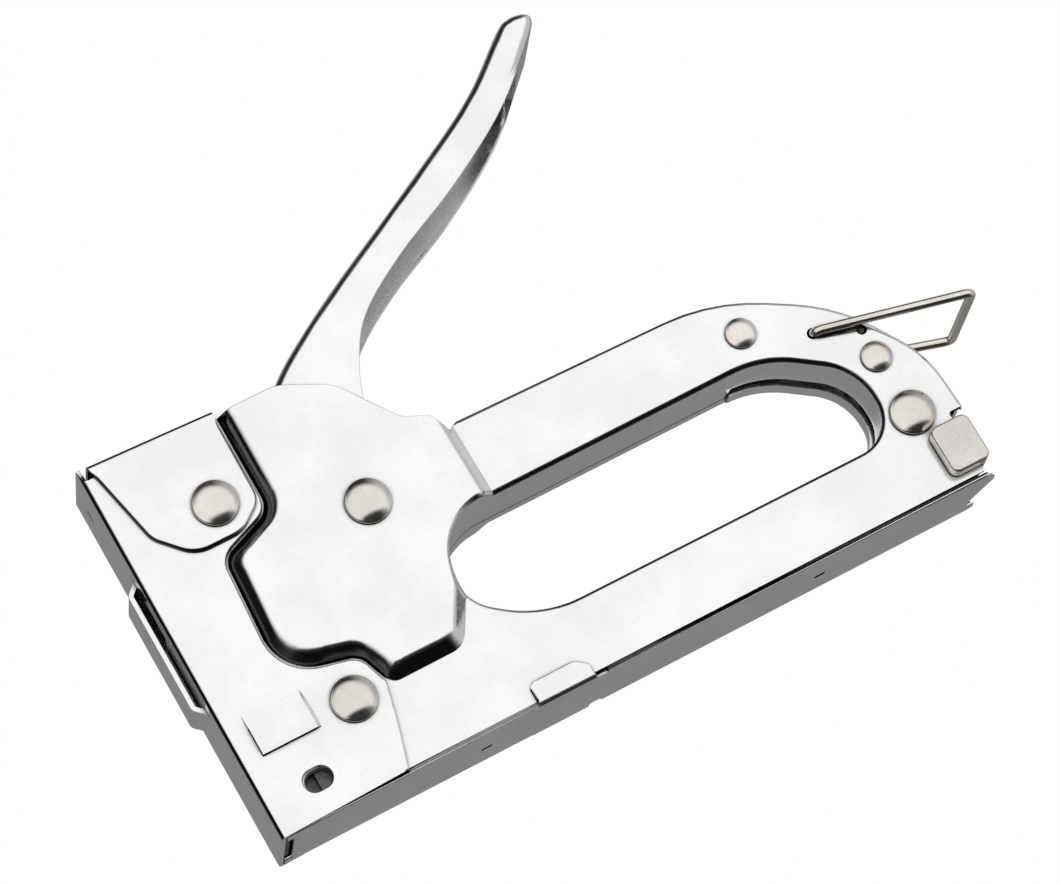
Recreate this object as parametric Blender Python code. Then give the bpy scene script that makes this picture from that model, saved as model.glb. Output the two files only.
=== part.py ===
"""Hand-held staple gun of folded sheet steel, as an assembly of separate pieces.

The gun stands on its base plate: +X runs from the nose to the heel, +Z up, and the tool is
centred on Y = 0.  The origin is the middle of the base plate's underside.  Sizes below are in
millimetres; make_mesh turns them into metres.
"""

from math import atan2, cos, hypot, pi, radians, sin, tan

import bmesh
import bpy
from mathutils import Matrix, Vector

MM = 0.001

# Overall sizes
BASE_LENGTH = 158.5       # nose front to the base's rear edge
BODY_WIDTH = 18.0         # over the two side shells
NOSE_HEIGHT = 83.9        # top of the cap above the base's underside

# Sheets and clearances
SHELL_SHEET = 1.0         # side shells
NOSE_SHEET = 0.9          # nose shell and top cap
BASE_SHEET = 1.0          # base plate
LEVER_SHEET = 1.2
CHANNEL_SHEET = 0.8       # magazine channel, nose guide and heel stiffener
RAIL_SHEET = 0.7
LAY = 0.2                 # gap between sheets that lie on each other
RUN = 0.3                 # gap round what moves or passes through
LEVER_PLAY = 0.4          # gap between a cheek of the lever and its pocket's floor

# Side shells
BULGE_RISE = 3.0          # how far the lever's pocket stands out of the side
BULGE_RUN = 3.2           # width of the pocket's sloping wall
SEAM_Y = 5.0              # where the flanges of the two shells meet
HEEL_FLANGE_Y = 1.0       # the left shell's flange ends here round the heel of the loop
GRIP_TOP = 59.4
LOOP_TOP = 42.4
LOOP_BOTTOM = 16.2
LOOP_FRONT = 54.7         # from the nose
LOOP_REAR = 11.4          # ahead of the base's rear edge
LINER_FRONT = 33.8        # ahead of the base's rear edge

# Rivets: distance from the nose or ahead of the base's rear edge, and height
SHANK = 2.0
BIG_HEAD, BIG_DOME = 4.7, 2.6
SMALL_HEAD, SMALL_DOME = 3.2, 1.9
PIVOT_X, PIVOT_Z = 46.7, 51.6
TOP_RIVET_X, TOP_RIVET_Z = 20.5, 65.3
NOSE_RIVET_X, NOSE_RIVET_Z = 25.3, 18.1
GRIP_RIVET_X, GRIP_RIVET_Z = 28.4, 49.0
UPPER_HEEL_X, UPPER_HEEL_Z = 6.8, 32.1
LOWER_HEEL_X, LOWER_HEEL_Z = 6.6, 18.5
SPACER = 3.4

# Wire bail
BAIL_X, BAIL_Z = 15.5, 42.3
BAIL_WIRE = 0.95
BAIL_LENGTH = 32.8
BAIL_ANGLE = -14.7
BAIL_SPLAY = 2.6          # how much further out the crossbar's ends are than the pivots
STOP_X, STOP_Z, STOP_PIN = 6.4, 38.5, 0.8

# Striker train
STROKE_ARM = 33.0         # lever pivot to the lifter's tip
SWING = 33.0              # degrees that the lever turns
LIFTER_TIP = 2.5
HAMMER_PIN, LEVER_PIN = 1.5, 1.6
HAMMER_BOTTOM, HAMMER_TOP = 40.0, 50.0
HAMMER_BACK = 17.0
BLADE_SHEET = 0.9
HAMMER_SIDE, BLADE_SIDE, BUMPER_SIDE = 1.5, 2.1, 1.7   # each one's edge inside the channel's
SPRING_X, SPRING_RADIUS, SPRING_WIRE = 9.4, 4.9, 0.75
SPRING_TURNS = 6
SEAT_TOP, SEAT_SHEET, SEAT_RADIUS = NOSE_HEIGHT - 1.8, 1.2, 6.0
SPIGOT_PLAY = 0.5         # gap between the seat's spigot and the main spring
TORSION_RADIUS, TORSION_WIRE = 5.9, 0.5

# Magazine
CHANNEL_TOP = 12.5
RAIL_TOP, RAIL_FRONT = 11.0, 4.4
PUSHER_WALL = 1.5
PUSHER_FRONT, PUSHER_LENGTH, PUSHER_TOP = 12.0, 12.0, 13.4
CLIP_REACH, CLIP_LENGTH = 6.7, 8.6
CLIP_BOTTOM, CLIP_TOP, CLIP_RISE = 2.6, 13.1, 3.2

HALF = BODY_WIDTH / 2
NOSE_IN = HALF + LAY
NOSE_OUT = NOSE_IN + NOSE_SHEET
CAP_IN = NOSE_OUT + LAY
CAP_OUT = CAP_IN + NOSE_SHEET
BULGE_OUT = HALF + BULGE_RISE
LEVER_HALF = BULGE_OUT - SHELL_SHEET - LEVER_PLAY
CHANNEL_HALF = HALF - SHELL_SHEET - RUN
RAIL_HALF = CHANNEL_HALF - CHANNEL_SHEET - PUSHER_WALL - 2 * RUN
SEAT_BOTTOM = SEAT_TOP - SEAT_SHEET
SHELL_BOTTOM = BASE_SHEET + LAY
HEAD_LIFT = 0.15          # gap under a rivet head

COLOURS = {
    "plated_steel": ((0.80, 0.81, 0.82), 0.18, 1.0),
    "nickel": ((0.74, 0.70, 0.66), 0.22, 1.0),
    "spring_steel": ((0.42, 0.42, 0.43), 0.35, 1.0),
    "hard_steel": ((0.50, 0.51, 0.53), 0.32, 1.0),
    "rubber": ((0.03, 0.03, 0.03), 0.75, 0.0),
}


def nose(x):
    """X of a place measured back from the nose."""
    return x - BASE_LENGTH / 2


def tail(x):
    """X of a place measured forward from the base's rear edge."""
    return BASE_LENGTH / 2 - x


# ---- outlines -------------------------------------------------------------------------------

def turn_sign(outline):
    area = sum(a[0] * b[1] - b[0] * a[1] for a, b in zip(outline, outline[1:] + outline[:1]))
    return 1.0 if area > 0 else -1.0


def inset(corners, distance):
    """The same corners with every side moved inwards; a negative distance moves them out."""
    sign = turn_sign([c[:2] for c in corners])
    count = len(corners)
    moved = []
    for i in range(count):
        before, here, after = (Vector(corners[(i + k) % count][:2]) for k in (-1, 0, 1))
        into, out = (here - before).normalized(), (after - here).normalized()
        bend = into.x * out.y - into.y * out.x
        normal_in = Vector((-into.y, into.x)) * sign
        normal_out = Vector((-out.y, out.x)) * sign
        shift = (normal_in + normal_out) * (distance / (1 + normal_in.dot(normal_out)))
        radius = corners[i][2]
        if radius:
            radius = max(radius - distance * (1 if bend * sign > 0 else -1), 0.2)
        moved.append((here.x + shift.x, here.y + shift.y, radius))
    return moved


def rounded(corners, steps=4):
    """Points of a polygon whose corners (x, z, radius) are rounded by arcs."""
    points = []
    count = len(corners)
    for i, (x, z, radius) in enumerate(corners):
        here = Vector((x, z))
        if not radius:
            points.append((x, z))
            continue
        to_before = (Vector(corners[i - 1][:2]) - here).normalized()
        to_after = (Vector(corners[(i + 1) % count][:2]) - here).normalized()
        half_angle = to_before.angle(to_after) / 2
        centre = here + (to_before + to_after).normalized() * (radius / sin(half_angle))
        first = here + to_before * (radius / tan(half_angle)) - centre
        last = here + to_after * (radius / tan(half_angle)) - centre
        start = atan2(first.y, first.x)
        sweep = (atan2(last.y, last.x) - start + pi) % (2 * pi) - pi
        for step in range(steps + 1):
            angle = start + sweep * step / steps
            points.append((centre.x + radius * cos(angle), centre.y + radius * sin(angle)))
    return points


def smooth(points, steps=3):
    """Points of a Catmull-Rom curve through the given points."""
    ends = [points[0]] + points + [points[-1]]
    curve = []
    for a, b, c, d in zip(ends, ends[1:], ends[2:], ends[3:]):
        for step in range(steps):
            t = step / steps
            curve.append(tuple(
                0.5 * (2 * q + (r - p) * t + (2 * p - 5 * q + 4 * r - s) * t**2
                       + (3 * q - p - 3 * r + s) * t**3)
                for p, q, r, s in zip(a, b, c, d)))
    return curve + [points[-1]]


def arc(x, z, radius, first, last, steps):
    """Points of an arc, from one angle to another in degrees."""
    angles = [radians(first + (last - first) * i / steps) for i in range(steps + 1)]
    return [(x + radius * cos(a), z + radius * sin(a)) for a in angles]


def circle(x, z, radius, steps=16):
    return arc(x, z, radius, 0, 360, steps)[:-1]


def slot(x, z, length, height, steps=6):
    """A slot with round ends, lying along X."""
    reach = (length - height) / 2
    return (arc(x + reach, z, height / 2, -90, 90, steps)
            + arc(x - reach, z, height / 2, 90, 270, steps))


def oblong(x0, x1, z0, z1):
    return [(x0, z0), (x1, z0), (x1, z1), (x0, z1)]


# ---- solids ---------------------------------------------------------------------------------

def make_mesh(name, points, faces, finish=None):
    mesh = bpy.data.meshes.new(name)
    mesh.from_pydata([[c * MM for c in p] for p in points], [], faces)
    build = bmesh.new()
    build.from_mesh(mesh)
    bmesh.ops.recalc_face_normals(build, faces=build.faces)
    build.to_mesh(mesh)
    build.free()
    obj = bpy.data.objects.new(name, mesh)
    bpy.context.scene.collection.objects.link(obj)
    if finish:
        paint(obj, finish)
    else:
        obj.hide_render = True
        obj.display_type = "WIRE"
    return obj


def paint(obj, finish):
    material = bpy.data.materials.get(finish) or bpy.data.materials.new(finish)
    colour, roughness, metallic = COLOURS[finish]
    material.use_nodes = True
    shader = material.node_tree.nodes["Principled BSDF"]
    shader.inputs["Base Color"].default_value = (*colour, 1)
    shader.inputs["Roughness"].default_value = roughness
    shader.inputs["Metallic"].default_value = metallic
    obj.data.materials.append(material)


def loft(name, sections, finish=None, plane="xz"):
    """A closed solid through outlines of equal length, each at its own depth."""
    count = len(sections[0][0])
    points = []
    for outline, depth in sections:
        for a, b in outline:
            points.append({"xz": (a, depth, b), "xy": (a, b, depth), "yz": (depth, a, b)}[plane])
    faces = [list(range(count)), [len(points) - 1 - i for i in range(count)]]
    for ring in range(len(sections) - 1):
        low = ring * count
        for i in range(count):
            j = (i + 1) % count
            faces.append([low + i, low + j, low + count + j, low + count + i])
    return make_mesh(name, points, faces, finish)


def prism(name, outline, near, far, finish=None, plane="xz"):
    return loft(name, [(outline, near), (outline, far)], finish, plane)


def block(name, x, y, z, finish=None):
    return prism(name, oblong(*x, *z), *y, finish)


def lathe(name, profile, x, z, finish=None, steps=16):
    """A solid turned about an axis along Y: profile is a list of (radius, y), ends on the axis."""
    points = [(x, profile[0][1], z)]
    for radius, y in profile[1:-1]:
        points += [(px, y, pz) for px, pz in circle(x, z, radius, steps)]
    points.append((x, profile[-1][1], z))
    last = len(points) - 1
    faces = []
    for i in range(steps):
        j = (i + 1) % steps
        faces.append([0, 1 + i, 1 + j])
        faces.append([last, last - steps + j, last - steps + i])
        for ring in range(len(profile) - 3):
            low = 1 + ring * steps
            faces.append([low + i, low + steps + i, low + steps + j, low + j])
    obj = make_mesh(name, points, faces, finish)
    if finish:
        obj.data.shade_smooth()
        obj.data.set_sharp_from_angle(angle=radians(40))
    return obj


def wire(name, points, radius, finish):
    """A round wire through the given points, with flat ends."""
    curve = bpy.data.curves.new(name, "CURVE")
    curve.dimensions = "3D"
    curve.bevel_depth = radius * MM
    curve.bevel_resolution = 2
    curve.use_fill_caps = True
    spline = curve.splines.new("POLY")
    spline.points.add(len(points) - 1)
    for point, place in zip(spline.points, points):
        point.co = (*[c * MM for c in place], 1)
    obj = bpy.data.objects.new(name, curve)
    bpy.context.scene.collection.objects.link(obj)
    paint(obj, finish)
    return obj


def boolean(obj, tool, operation="DIFFERENCE"):
    modifier = obj.modifiers.new(f"{operation.lower()}_{tool.name}", "BOOLEAN")
    modifier.operation = operation
    modifier.object = tool
    modifier.solver = "EXACT"
    return obj


def drill(obj, holes, near, far):
    """Cuts round holes (x, z, radius) along Y."""
    for x, z, radius in holes:
        boolean(obj, prism("hole", circle(x, z, radius), near, far))


# ---- shared outlines ------------------------------------------------------------------------

SHELL = [
    (nose(NOSE_SHEET + RUN), SHELL_BOTTOM, 0.4),
    (tail(0), SHELL_BOTTOM, 0.4),
    (tail(0), 15.1, 0.4),
    (tail(-3.4), 15.1, 0.7),
    (tail(-2.8), 28.3, 20),
    (tail(8.0), 45.3, 25),
    (tail(29.6), GRIP_TOP - 1.2, 30),
    (nose(70.8), GRIP_TOP, 0.8),
    (nose(68.6), GRIP_TOP - 1.7, 0.4),
    (nose(66.2), 61.9, 3),
    (nose(61.2), 64.0, 5),
    (nose(52.5), 76.3, 9),
    (nose(42.5), 81.4, 9),
    (nose(35.8), NOSE_HEIGHT - 2.5, 0.5),
    (nose(NOSE_SHEET + RUN), NOSE_HEIGHT - 2.4, 0.4),
]
LOOP = [
    (nose(LOOP_FRONT), LOOP_BOTTOM + 9.2, 7),
    (nose(LOOP_FRONT + 11.6), LOOP_BOTTOM, 18),
    (tail(LOOP_REAR), LOOP_BOTTOM - 0.3, 8.4),
    (tail(LOOP_REAR), 31.8, 12.4),
    (tail(LOOP_REAR + 15.5), LOOP_TOP + 0.2, 22),
    (nose(LOOP_FRONT), LOOP_TOP, 12.6),
]
POCKET = [
    (nose(33.4), NOSE_HEIGHT + 8, 0.5),
    (nose(29.6), 60.2, 5),
    (nose(16.4), 54.0, 7),
    (nose(16.4), 30.6, 7),
    (nose(30.0), 25.6, 6),
    (nose(34.2), 17.7, 4),
    (nose(50.4), 17.8, 3.5),
    (nose(57.8), 30.8, 1),
    (nose(69.9), 33.0, 1),
    (nose(69.0), 66.0, 1),
    (nose(66.6), NOSE_HEIGHT + 8, 0.5),
]
RIVETS = {
    "rivet_top": (nose(TOP_RIVET_X), TOP_RIVET_Z, BIG_HEAD, BIG_DOME, CAP_OUT),
    "rivet_lever_pivot": (nose(PIVOT_X), PIVOT_Z, BIG_HEAD, BIG_DOME, BULGE_OUT),
    "rivet_nose": (nose(NOSE_RIVET_X), NOSE_RIVET_Z, BIG_HEAD, BIG_DOME, NOSE_OUT),
    "rivet_grip": (tail(GRIP_RIVET_X), GRIP_RIVET_Z, SMALL_HEAD, SMALL_DOME, HALF),
    "rivet_heel_upper": (tail(UPPER_HEEL_X), UPPER_HEEL_Z, SMALL_HEAD, SMALL_DOME, HALF),
    "rivet_heel_lower": (tail(LOWER_HEEL_X), LOWER_HEEL_Z, BIG_HEAD, BIG_DOME, HALF),
}
WINDOW_X, WINDOW_Z, WINDOW_LENGTH, WINDOW_HEIGHT = nose(11.6), 7.4, 6.4, 5.0


def rivet_holes(*names, clearance=LAY):
    return [(RIVETS[n][0], RIVETS[n][1], SHANK + clearance) for n in names]


# ---- casing ---------------------------------------------------------------------------------

def side_shell(name, side, flange_end, loop_flange_end):
    """One half of the casing. side is -1 for the left half and 1 for the right one."""
    outer, inner = side * HALF, side * (HALF - SHELL_SHEET)
    past = flange_end - side * 2
    top = side * BULGE_OUT
    shell = prism(name, rounded(inset(SHELL, -1.5)), outer, flange_end, "plated_steel")
    foot = rounded(POCKET)
    boolean(shell, loft("bulge", [
        (foot, outer - side * SHELL_SHEET / 2),
        (foot, outer),
        (rounded(inset(POCKET, BULGE_RUN)), top),
    ]), "UNION")
    boolean(shell, prism("trim", rounded(SHELL), top + side, past), "INTERSECT")

    hollow = prism("hollow", rounded(inset(SHELL, SHELL_SHEET)), inner, past)
    inside = rounded(inset(POCKET, SHELL_SHEET * 0.9))
    boolean(hollow, loft("pocket", [
        (inside, inner - side),
        (inside, outer - side * SHELL_SHEET * 0.4),
        (rounded(inset(POCKET, BULGE_RUN + SHELL_SHEET * 0.7)), top - side * SHELL_SHEET),
    ]), "UNION")
    # The casing is open below, in front, above the nose and where the lever comes out.
    open_below = oblong(nose(-2), tail(-6), -2, SHELL_BOTTOM + 13.2)
    open_front = oblong(nose(-2), nose(69.2), 8, NOSE_HEIGHT + 2)
    boolean(hollow, prism("open_below", open_below, inner, past), "UNION")
    boolean(hollow, prism("open_front", open_front, inner, past - side), "UNION")
    keep = prism("loop_flange", rounded(inset(LOOP, -SHELL_SHEET)), top + side * 2, past - side * 2)
    heel_x = (tail(LINER_FRONT), tail(LOOP_REAR - 4))
    boolean(keep, block("heel_gap", heel_x, (loop_flange_end, past - side * 4), (8, 60)))
    boolean(hollow, keep)
    boolean(shell, hollow)
    boolean(shell, prism("loop", rounded(LOOP), top + side * 3, past - side * 3))
    drill(shell, rivet_holes(*RIVETS), top + side, inner - side)
    drill(shell, [(tail(BAIL_X), BAIL_Z, BAIL_WIRE + RUN), (tail(STOP_X), STOP_Z, STOP_PIN + RUN)],
          outer + side, inner - side)
    window = slot(WINDOW_X + 0.5, WINDOW_Z - LAY, WINDOW_LENGTH, WINDOW_HEIGHT)
    boolean(shell, prism("window", window, outer + side, inner - side))
    return shell


def nose_shell():
    """The folded nose: a front plate with a side flap each way, held by the nose rivet."""
    flap = [
        (nose(0), SHELL_BOTTOM - 1.0, 0),
        (nose(27.9), SHELL_BOTTOM - 0.3, 0.6),
        (nose(30.7), 10.4, 3),
        (nose(33.0), 20.0, 6),
        (nose(29.0), 30.0, 2),
        (nose(31.0), 62.0, 1),
        (nose(28.0), NOSE_HEIGHT - 2.6, 0.5),
        (nose(NOSE_SHEET), NOSE_HEIGHT - 2.6, 0),
        (nose(NOSE_SHEET), NOSE_HEIGHT + 0.4, 0),
        (nose(0), NOSE_HEIGHT + 0.4, 0),
    ]
    shell = prism("nose_shell", rounded(flap), -NOSE_OUT, NOSE_OUT, "plated_steel")
    inside = oblong(nose(NOSE_SHEET), nose(50), -5, NOSE_HEIGHT + 5)
    boolean(shell, prism("inside", inside, -NOSE_IN, NOSE_IN))
    around_pocket = rounded(inset(POCKET, -RUN))
    boolean(shell, prism("around_pocket", around_pocket, -NOSE_OUT - 1, NOSE_OUT + 1))
    # A strap lanced out of the front plate, open at its two sides.
    strap = [(0.5, 29.3), (-2.3, 32.3), (-2.3, 57.6), (0.5, 60.6)]
    behind = [(1.6, 29.5), (-1.4, 32.7), (-1.4, 57.2), (1.6, 60.4)]
    boolean(shell, prism("strap", [(nose(x), z) for x, z in strap], -5.5, 5.5), "UNION")
    boolean(shell, prism("behind", [(nose(x), z) for x, z in behind], -5.9, 5.9))
    boolean(shell, block("slit", (nose(-1), nose(2)), (0.7, 1.4), (76.9, 79.3)))
    for side in (-1, 1):
        low = side * (NOSE_IN + NOSE_SHEET / 2)
        boolean(shell, loft("lance", [
            (oblong(nose(4.5), nose(17.3), 16.2, 25.3), low),
            (oblong(nose(4.5), nose(17.1), 16.2, 23.2), side * (NOSE_OUT + 1.1)),
        ]), "UNION")
    window = slot(WINDOW_X, WINDOW_Z, WINDOW_LENGTH, WINDOW_HEIGHT)
    boolean(shell, prism("window", window, -NOSE_OUT - 1, NOSE_OUT + 1))
    drill(shell, rivet_holes("rivet_top", "rivet_nose"), -NOSE_OUT - 3, NOSE_OUT + 3)


def top_cap():
    """The folded cap over the nose, which takes the main spring's push."""
    slope = 1.1
    rim = [
        (nose(2.0), NOSE_HEIGHT, 0.5),
        (nose(6.3), 65.6, 5),
        (nose(13.5), 58.4, 8),
        (nose(22.5), 58.4, 5),
        (nose(28.4), 62.5, 5),
        (nose(29.2), NOSE_HEIGHT - slope, 0.5),
    ]
    lip = [
        (nose(28.0), NOSE_HEIGHT - slope - 1.1),
        (nose(35.6), NOSE_HEIGHT - slope - 1.2),
        (nose(35.6), NOSE_HEIGHT - slope + 0.1),
        (nose(28.0), NOSE_HEIGHT - slope + 0.4),
    ]
    cap = prism("top_cap", rounded(rim), -CAP_OUT, CAP_OUT, "plated_steel")
    under = [
        (nose(-1), NOSE_HEIGHT - NOSE_SHEET + 0.1),
        (nose(-1), 50),
        (nose(40), 50),
        (nose(40), NOSE_HEIGHT - NOSE_SHEET - slope - 0.4),
    ]
    boolean(cap, prism("under", under, -CAP_IN, CAP_IN))
    boolean(cap, prism("lip", lip, -HALF + 1.5, HALF - 1.5), "UNION")
    drill(cap, rivet_holes("rivet_top"), -CAP_OUT - 1, CAP_OUT + 1)


def base_plate():
    """The sole of the tool, with two tabs folded up over the side shells."""
    rear = [(tail(1.7), HALF, 0.5), (tail(0.1), HALF - 0.6, 0.3), (tail(0.1), HALF - 2.4, 0.3),
            (tail(1.9), HALF - 2.8, 0.3), (tail(1.9), 3.2, 1), (tail(-2.6), -5.0, 1.6),
            (tail(-0.6), -HALF, 1.4)]
    exit_x = NOSE_SHEET + RUN
    gap = HALF - 2.6
    front = [(nose(exit_x), -HALF, 0), (nose(exit_x), -gap, 0), (nose(exit_x + 1.5), -gap, 0),
             (nose(exit_x + 1.5), gap, 0), (nose(exit_x), gap, 0), (nose(exit_x), HALF, 0)]
    plate = prism("base_plate", rounded(rear + front, 3), 0, BASE_SHEET, "plated_steel", "xy")
    tab_in, tab_out = HALF + LAY, HALF + LAY + 0.8
    tab = [(nose(56.5), 0), (nose(68.9), 0), (nose(68.9), 3.2), (nose(66.4), 5.0),
           (nose(57.3), 5.0), (nose(56.5), 4.2)]
    for side in (-1, 1):
        boolean(plate, prism("tab", tab, side * tab_in, side * tab_out), "UNION")
        bridge = block("tab_root", (nose(56.9), nose(68.5)), (side * (HALF - 1), side * (tab_out - 0.1)),
                       (0.05, BASE_SHEET - 0.05))
        boolean(plate, bridge, "UNION")
        reach = (side * (HALF - 1.3), side * (HALF + 3))
        boolean(plate, block("notch", (nose(69.3), nose(71.9)), reach, (-1, 3)))
    for x in (45.3, 120.8):
        boolean(plate, prism("mark", slot(nose(x), 0, 2.6, 1.3), -1, 3, plane="xy"))


def magazine_channel():
    """The track that the staples and the rail run in."""
    length = (nose(3.6), tail(1.4))
    floor = BASE_SHEET + LAY
    channel = block("magazine_channel", length, (-CHANNEL_HALF, CHANNEL_HALF), (floor, CHANNEL_TOP),
                    "hard_steel")
    wall = CHANNEL_HALF - CHANNEL_SHEET
    inside = (length[0] - 1, length[1] + 1)
    boolean(channel, block("run", inside, (-wall, wall), (floor + CHANNEL_SHEET, CHANNEL_TOP + 1)))


def nose_guide():
    """The plate that the striker blade slides on, with a shelf for the bumper above."""
    front = nose(NOSE_SHEET + BLADE_SHEET + 2 * RUN)
    wide = CHANNEL_HALF - RUN
    shelf = HAMMER_BOTTOM - 3.3
    guide = block("nose_guide", (front, nose(30)), (-wide, wide), (14.9, shelf), "hard_steel")
    inner = wide - CHANNEL_SHEET
    boolean(guide, block("room", (front + CHANNEL_SHEET, nose(31)), (-inner, inner),
                         (13, shelf - CHANNEL_SHEET)))
    boolean(guide, block("upper", (nose(11.5), nose(31)), (-wide - 1, wide + 1), (22.6, shelf + 1)))
    drill(guide, rivet_holes("rivet_nose"), -wide - 1, wide + 1)


def heel_stiffener():
    """The plate inside the right shell's heel, whose rim lines the end of the finger loop."""
    near, far = HALF - SHELL_SHEET - RUN, HALF - SHELL_SHEET - RUN - CHANNEL_SHEET
    front, back = tail(LINER_FRONT - RUN), tail(-1.2)
    plate = prism("heel_stiffener", rounded(inset(SHELL, SHELL_SHEET + 0.6)), near, far, "plated_steel")
    boolean(plate, block("heel", (front, back), (near + 1, far - 1), (15.4, 60)), "INTERSECT")
    rim = prism("rim", rounded(inset(LOOP, -0.3)), near, far - 3.9)
    boolean(rim, block("rim_end", (front, back), (near + 1, far - 6), (21.5, 60)), "INTERSECT")
    boolean(plate, rim, "UNION")
    boolean(plate, prism("rim_hole", rounded(inset(LOOP, 0.7)), near + 2, far - 7))
    drill(plate, rivet_holes("rivet_grip", "rivet_heel_upper", "rivet_heel_lower"), near + 1, far - 1)
    drill(plate, [(tail(BAIL_X), BAIL_Z, BAIL_WIRE + RUN), (tail(STOP_X), STOP_Z, STOP_PIN + RUN)],
          near + 1, far - 1)


# ---- rivets and spacers ---------------------------------------------------------------------

def rivet(name, x, z, head, dome, seat):
    """A rivet right through the tool, with a domed head each side."""
    under = seat + HEAD_LIFT
    half = [(head * cos(a), under + 0.35 + (dome - 0.35) * sin(a))
            for a in (radians(d) for d in (62, 36, 12, 0))]
    half = [(0, under + dome)] + half + [(head, under), (SHANK, under)]
    other = [(r, -y) for r, y in reversed(half)]
    lathe(name, half + other, x, z, "nickel")


def spacer(name, x, z, near, far):
    """A tube round a rivet's shank that holds two sheets apart."""
    tube = prism(name, circle(x, z, SPACER), near, far, "hard_steel")
    drill(tube, [(x, z, SHANK + LAY)], near - 1, far + 1)


# ---- lever and striker ----------------------------------------------------------------------

def lever_outline():
    """The lever's edge behind, up to its tip, and the edge ahead with the boss round the pivot."""
    rear = smooth([(55.5, 58), (56.3, 69.5), (60.0, 78.9), (66.0, 87.0), (78.0, 94.8),
                   (94.7, 103.0), (111.7, 113.5), (125.8, 126.3)], 2)
    front = smooth([(119.2, 129.1), (105.8, 118.5), (84.3, 106.5), (57.8, 92.3), (41.9, 81.4),
                    (38.2, 72.0), (37.9, 60.0)], 2)
    tip = [(127.4, 128.2), (125.9, 130.2), (122.6, 130.9)]
    boss = arc(PIVOT_X, PIVOT_Z, 8.6, 170, 370, 8)
    return [(nose(x), z) for x, z in rear + tip], [(nose(x), z) for x, z in front + boss]


def lever():
    """The squeeze lever: a channel with its web on the outside and its cheeks in the pockets."""
    behind, ahead = lever_outline()
    outline = behind + ahead
    shrunk = [(x - 0.25, z) for x, z in behind] + [(x + 0.45, z - 0.6) for x, z in ahead]
    full = LEVER_HALF - 1.0
    body = loft("lever", [(shrunk, LEVER_HALF), (outline, full), (outline, -full), (shrunk, -LEVER_HALF)],
                "plated_steel")
    inner = LEVER_HALF - LEVER_SHEET
    trough = [(x + LEVER_SHEET * 0.72, z - LEVER_SHEET * 0.96) for x, z in outline]
    boolean(body, prism("trough", trough, inner, -inner))
    boolean(body, block("foot_gap", (nose(30), nose(70)), (-inner, inner), (35, 74.0)))
    pin = lever_pin_place()
    holes = [(nose(PIVOT_X), PIVOT_Z, SHANK + RUN), (*pin, LEVER_PIN + LAY)]
    drill(body, holes, -LEVER_HALF - 1, LEVER_HALF + 1)


def lever_pin_place():
    return nose(PIVOT_X + 3.4), PIVOT_Z + 13.6


def lifter():
    """The arm on the lever's pivot that hooks under the hammer's pin."""
    rest = radians(180 + SWING / 2)
    tip_x, tip_z = PIVOT_X + STROKE_ARM * cos(rest), PIVOT_Z + STROKE_ARM * sin(rest)
    pin_x, pin_z = lever_pin_place()
    outline = (arc(nose(tip_x), tip_z, LIFTER_TIP, 110, 285, 6)
               + arc(nose(PIVOT_X), PIVOT_Z, 6.6, 270, 350, 4)
               + arc(pin_x, pin_z, 3.4, 0, 180, 6)
               + arc(nose(PIVOT_X), PIVOT_Z, 6.6, 150, 150, 1)[:1])
    arm = prism("lifter", outline, -2.5, 2.5, "hard_steel")
    reach = LEVER_HALF - LEVER_SHEET - RUN
    boolean(arm, prism("hub", circle(nose(PIVOT_X), PIVOT_Z, 4.6), -reach, reach), "UNION")
    drill(arm, [(nose(PIVOT_X), PIVOT_Z, SHANK + RUN), (pin_x, pin_z, LEVER_PIN + LAY)], -15, 15)
    return nose(tip_x), tip_z


def cross_pin(name, x, z, radius, half):
    profile = [(0, half), (radius - 0.2, half), (radius, half - 0.3)]
    lathe(name, profile + [(r, -y) for r, y in reversed(profile)], x, z, "hard_steel", 12)


def hammer(tip_x, tip_z):
    """The sliding block that carries the striker blade, forked round the lifter's tip."""
    blade_x = nose(NOSE_SHEET + RUN)
    front = blade_x + BLADE_SHEET + RUN
    wide = CHANNEL_HALF - HAMMER_SIDE
    pin_x, pin_z = tip_x - 0.7, tip_z + LIFTER_TIP + HAMMER_PIN + RUN
    head = block("hammer", (front, nose(HAMMER_BACK)), (-wide, wide), (HAMMER_BOTTOM, HAMMER_TOP),
                 "hard_steel")
    fork = LIFTER_TIP + 0.4
    boolean(head, block("fork", (tip_x - 4.6, nose(HAMMER_BACK + 1)), (-fork, fork),
                        (HAMMER_BOTTOM - 1, HAMMER_TOP + 1)))
    drill(head, [(pin_x, pin_z, HAMMER_PIN + LAY)], -wide - 1, wide + 1)
    cross_pin("hammer_pin", pin_x, pin_z, HAMMER_PIN, wide - 0.2)
    side = CHANNEL_HALF - BLADE_SIDE
    blade = oblong(blade_x, blade_x + BLADE_SHEET, -side, side)
    prism("striker_blade", blade, 0.6, HAMMER_TOP - 1, "hard_steel", "xy")


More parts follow.
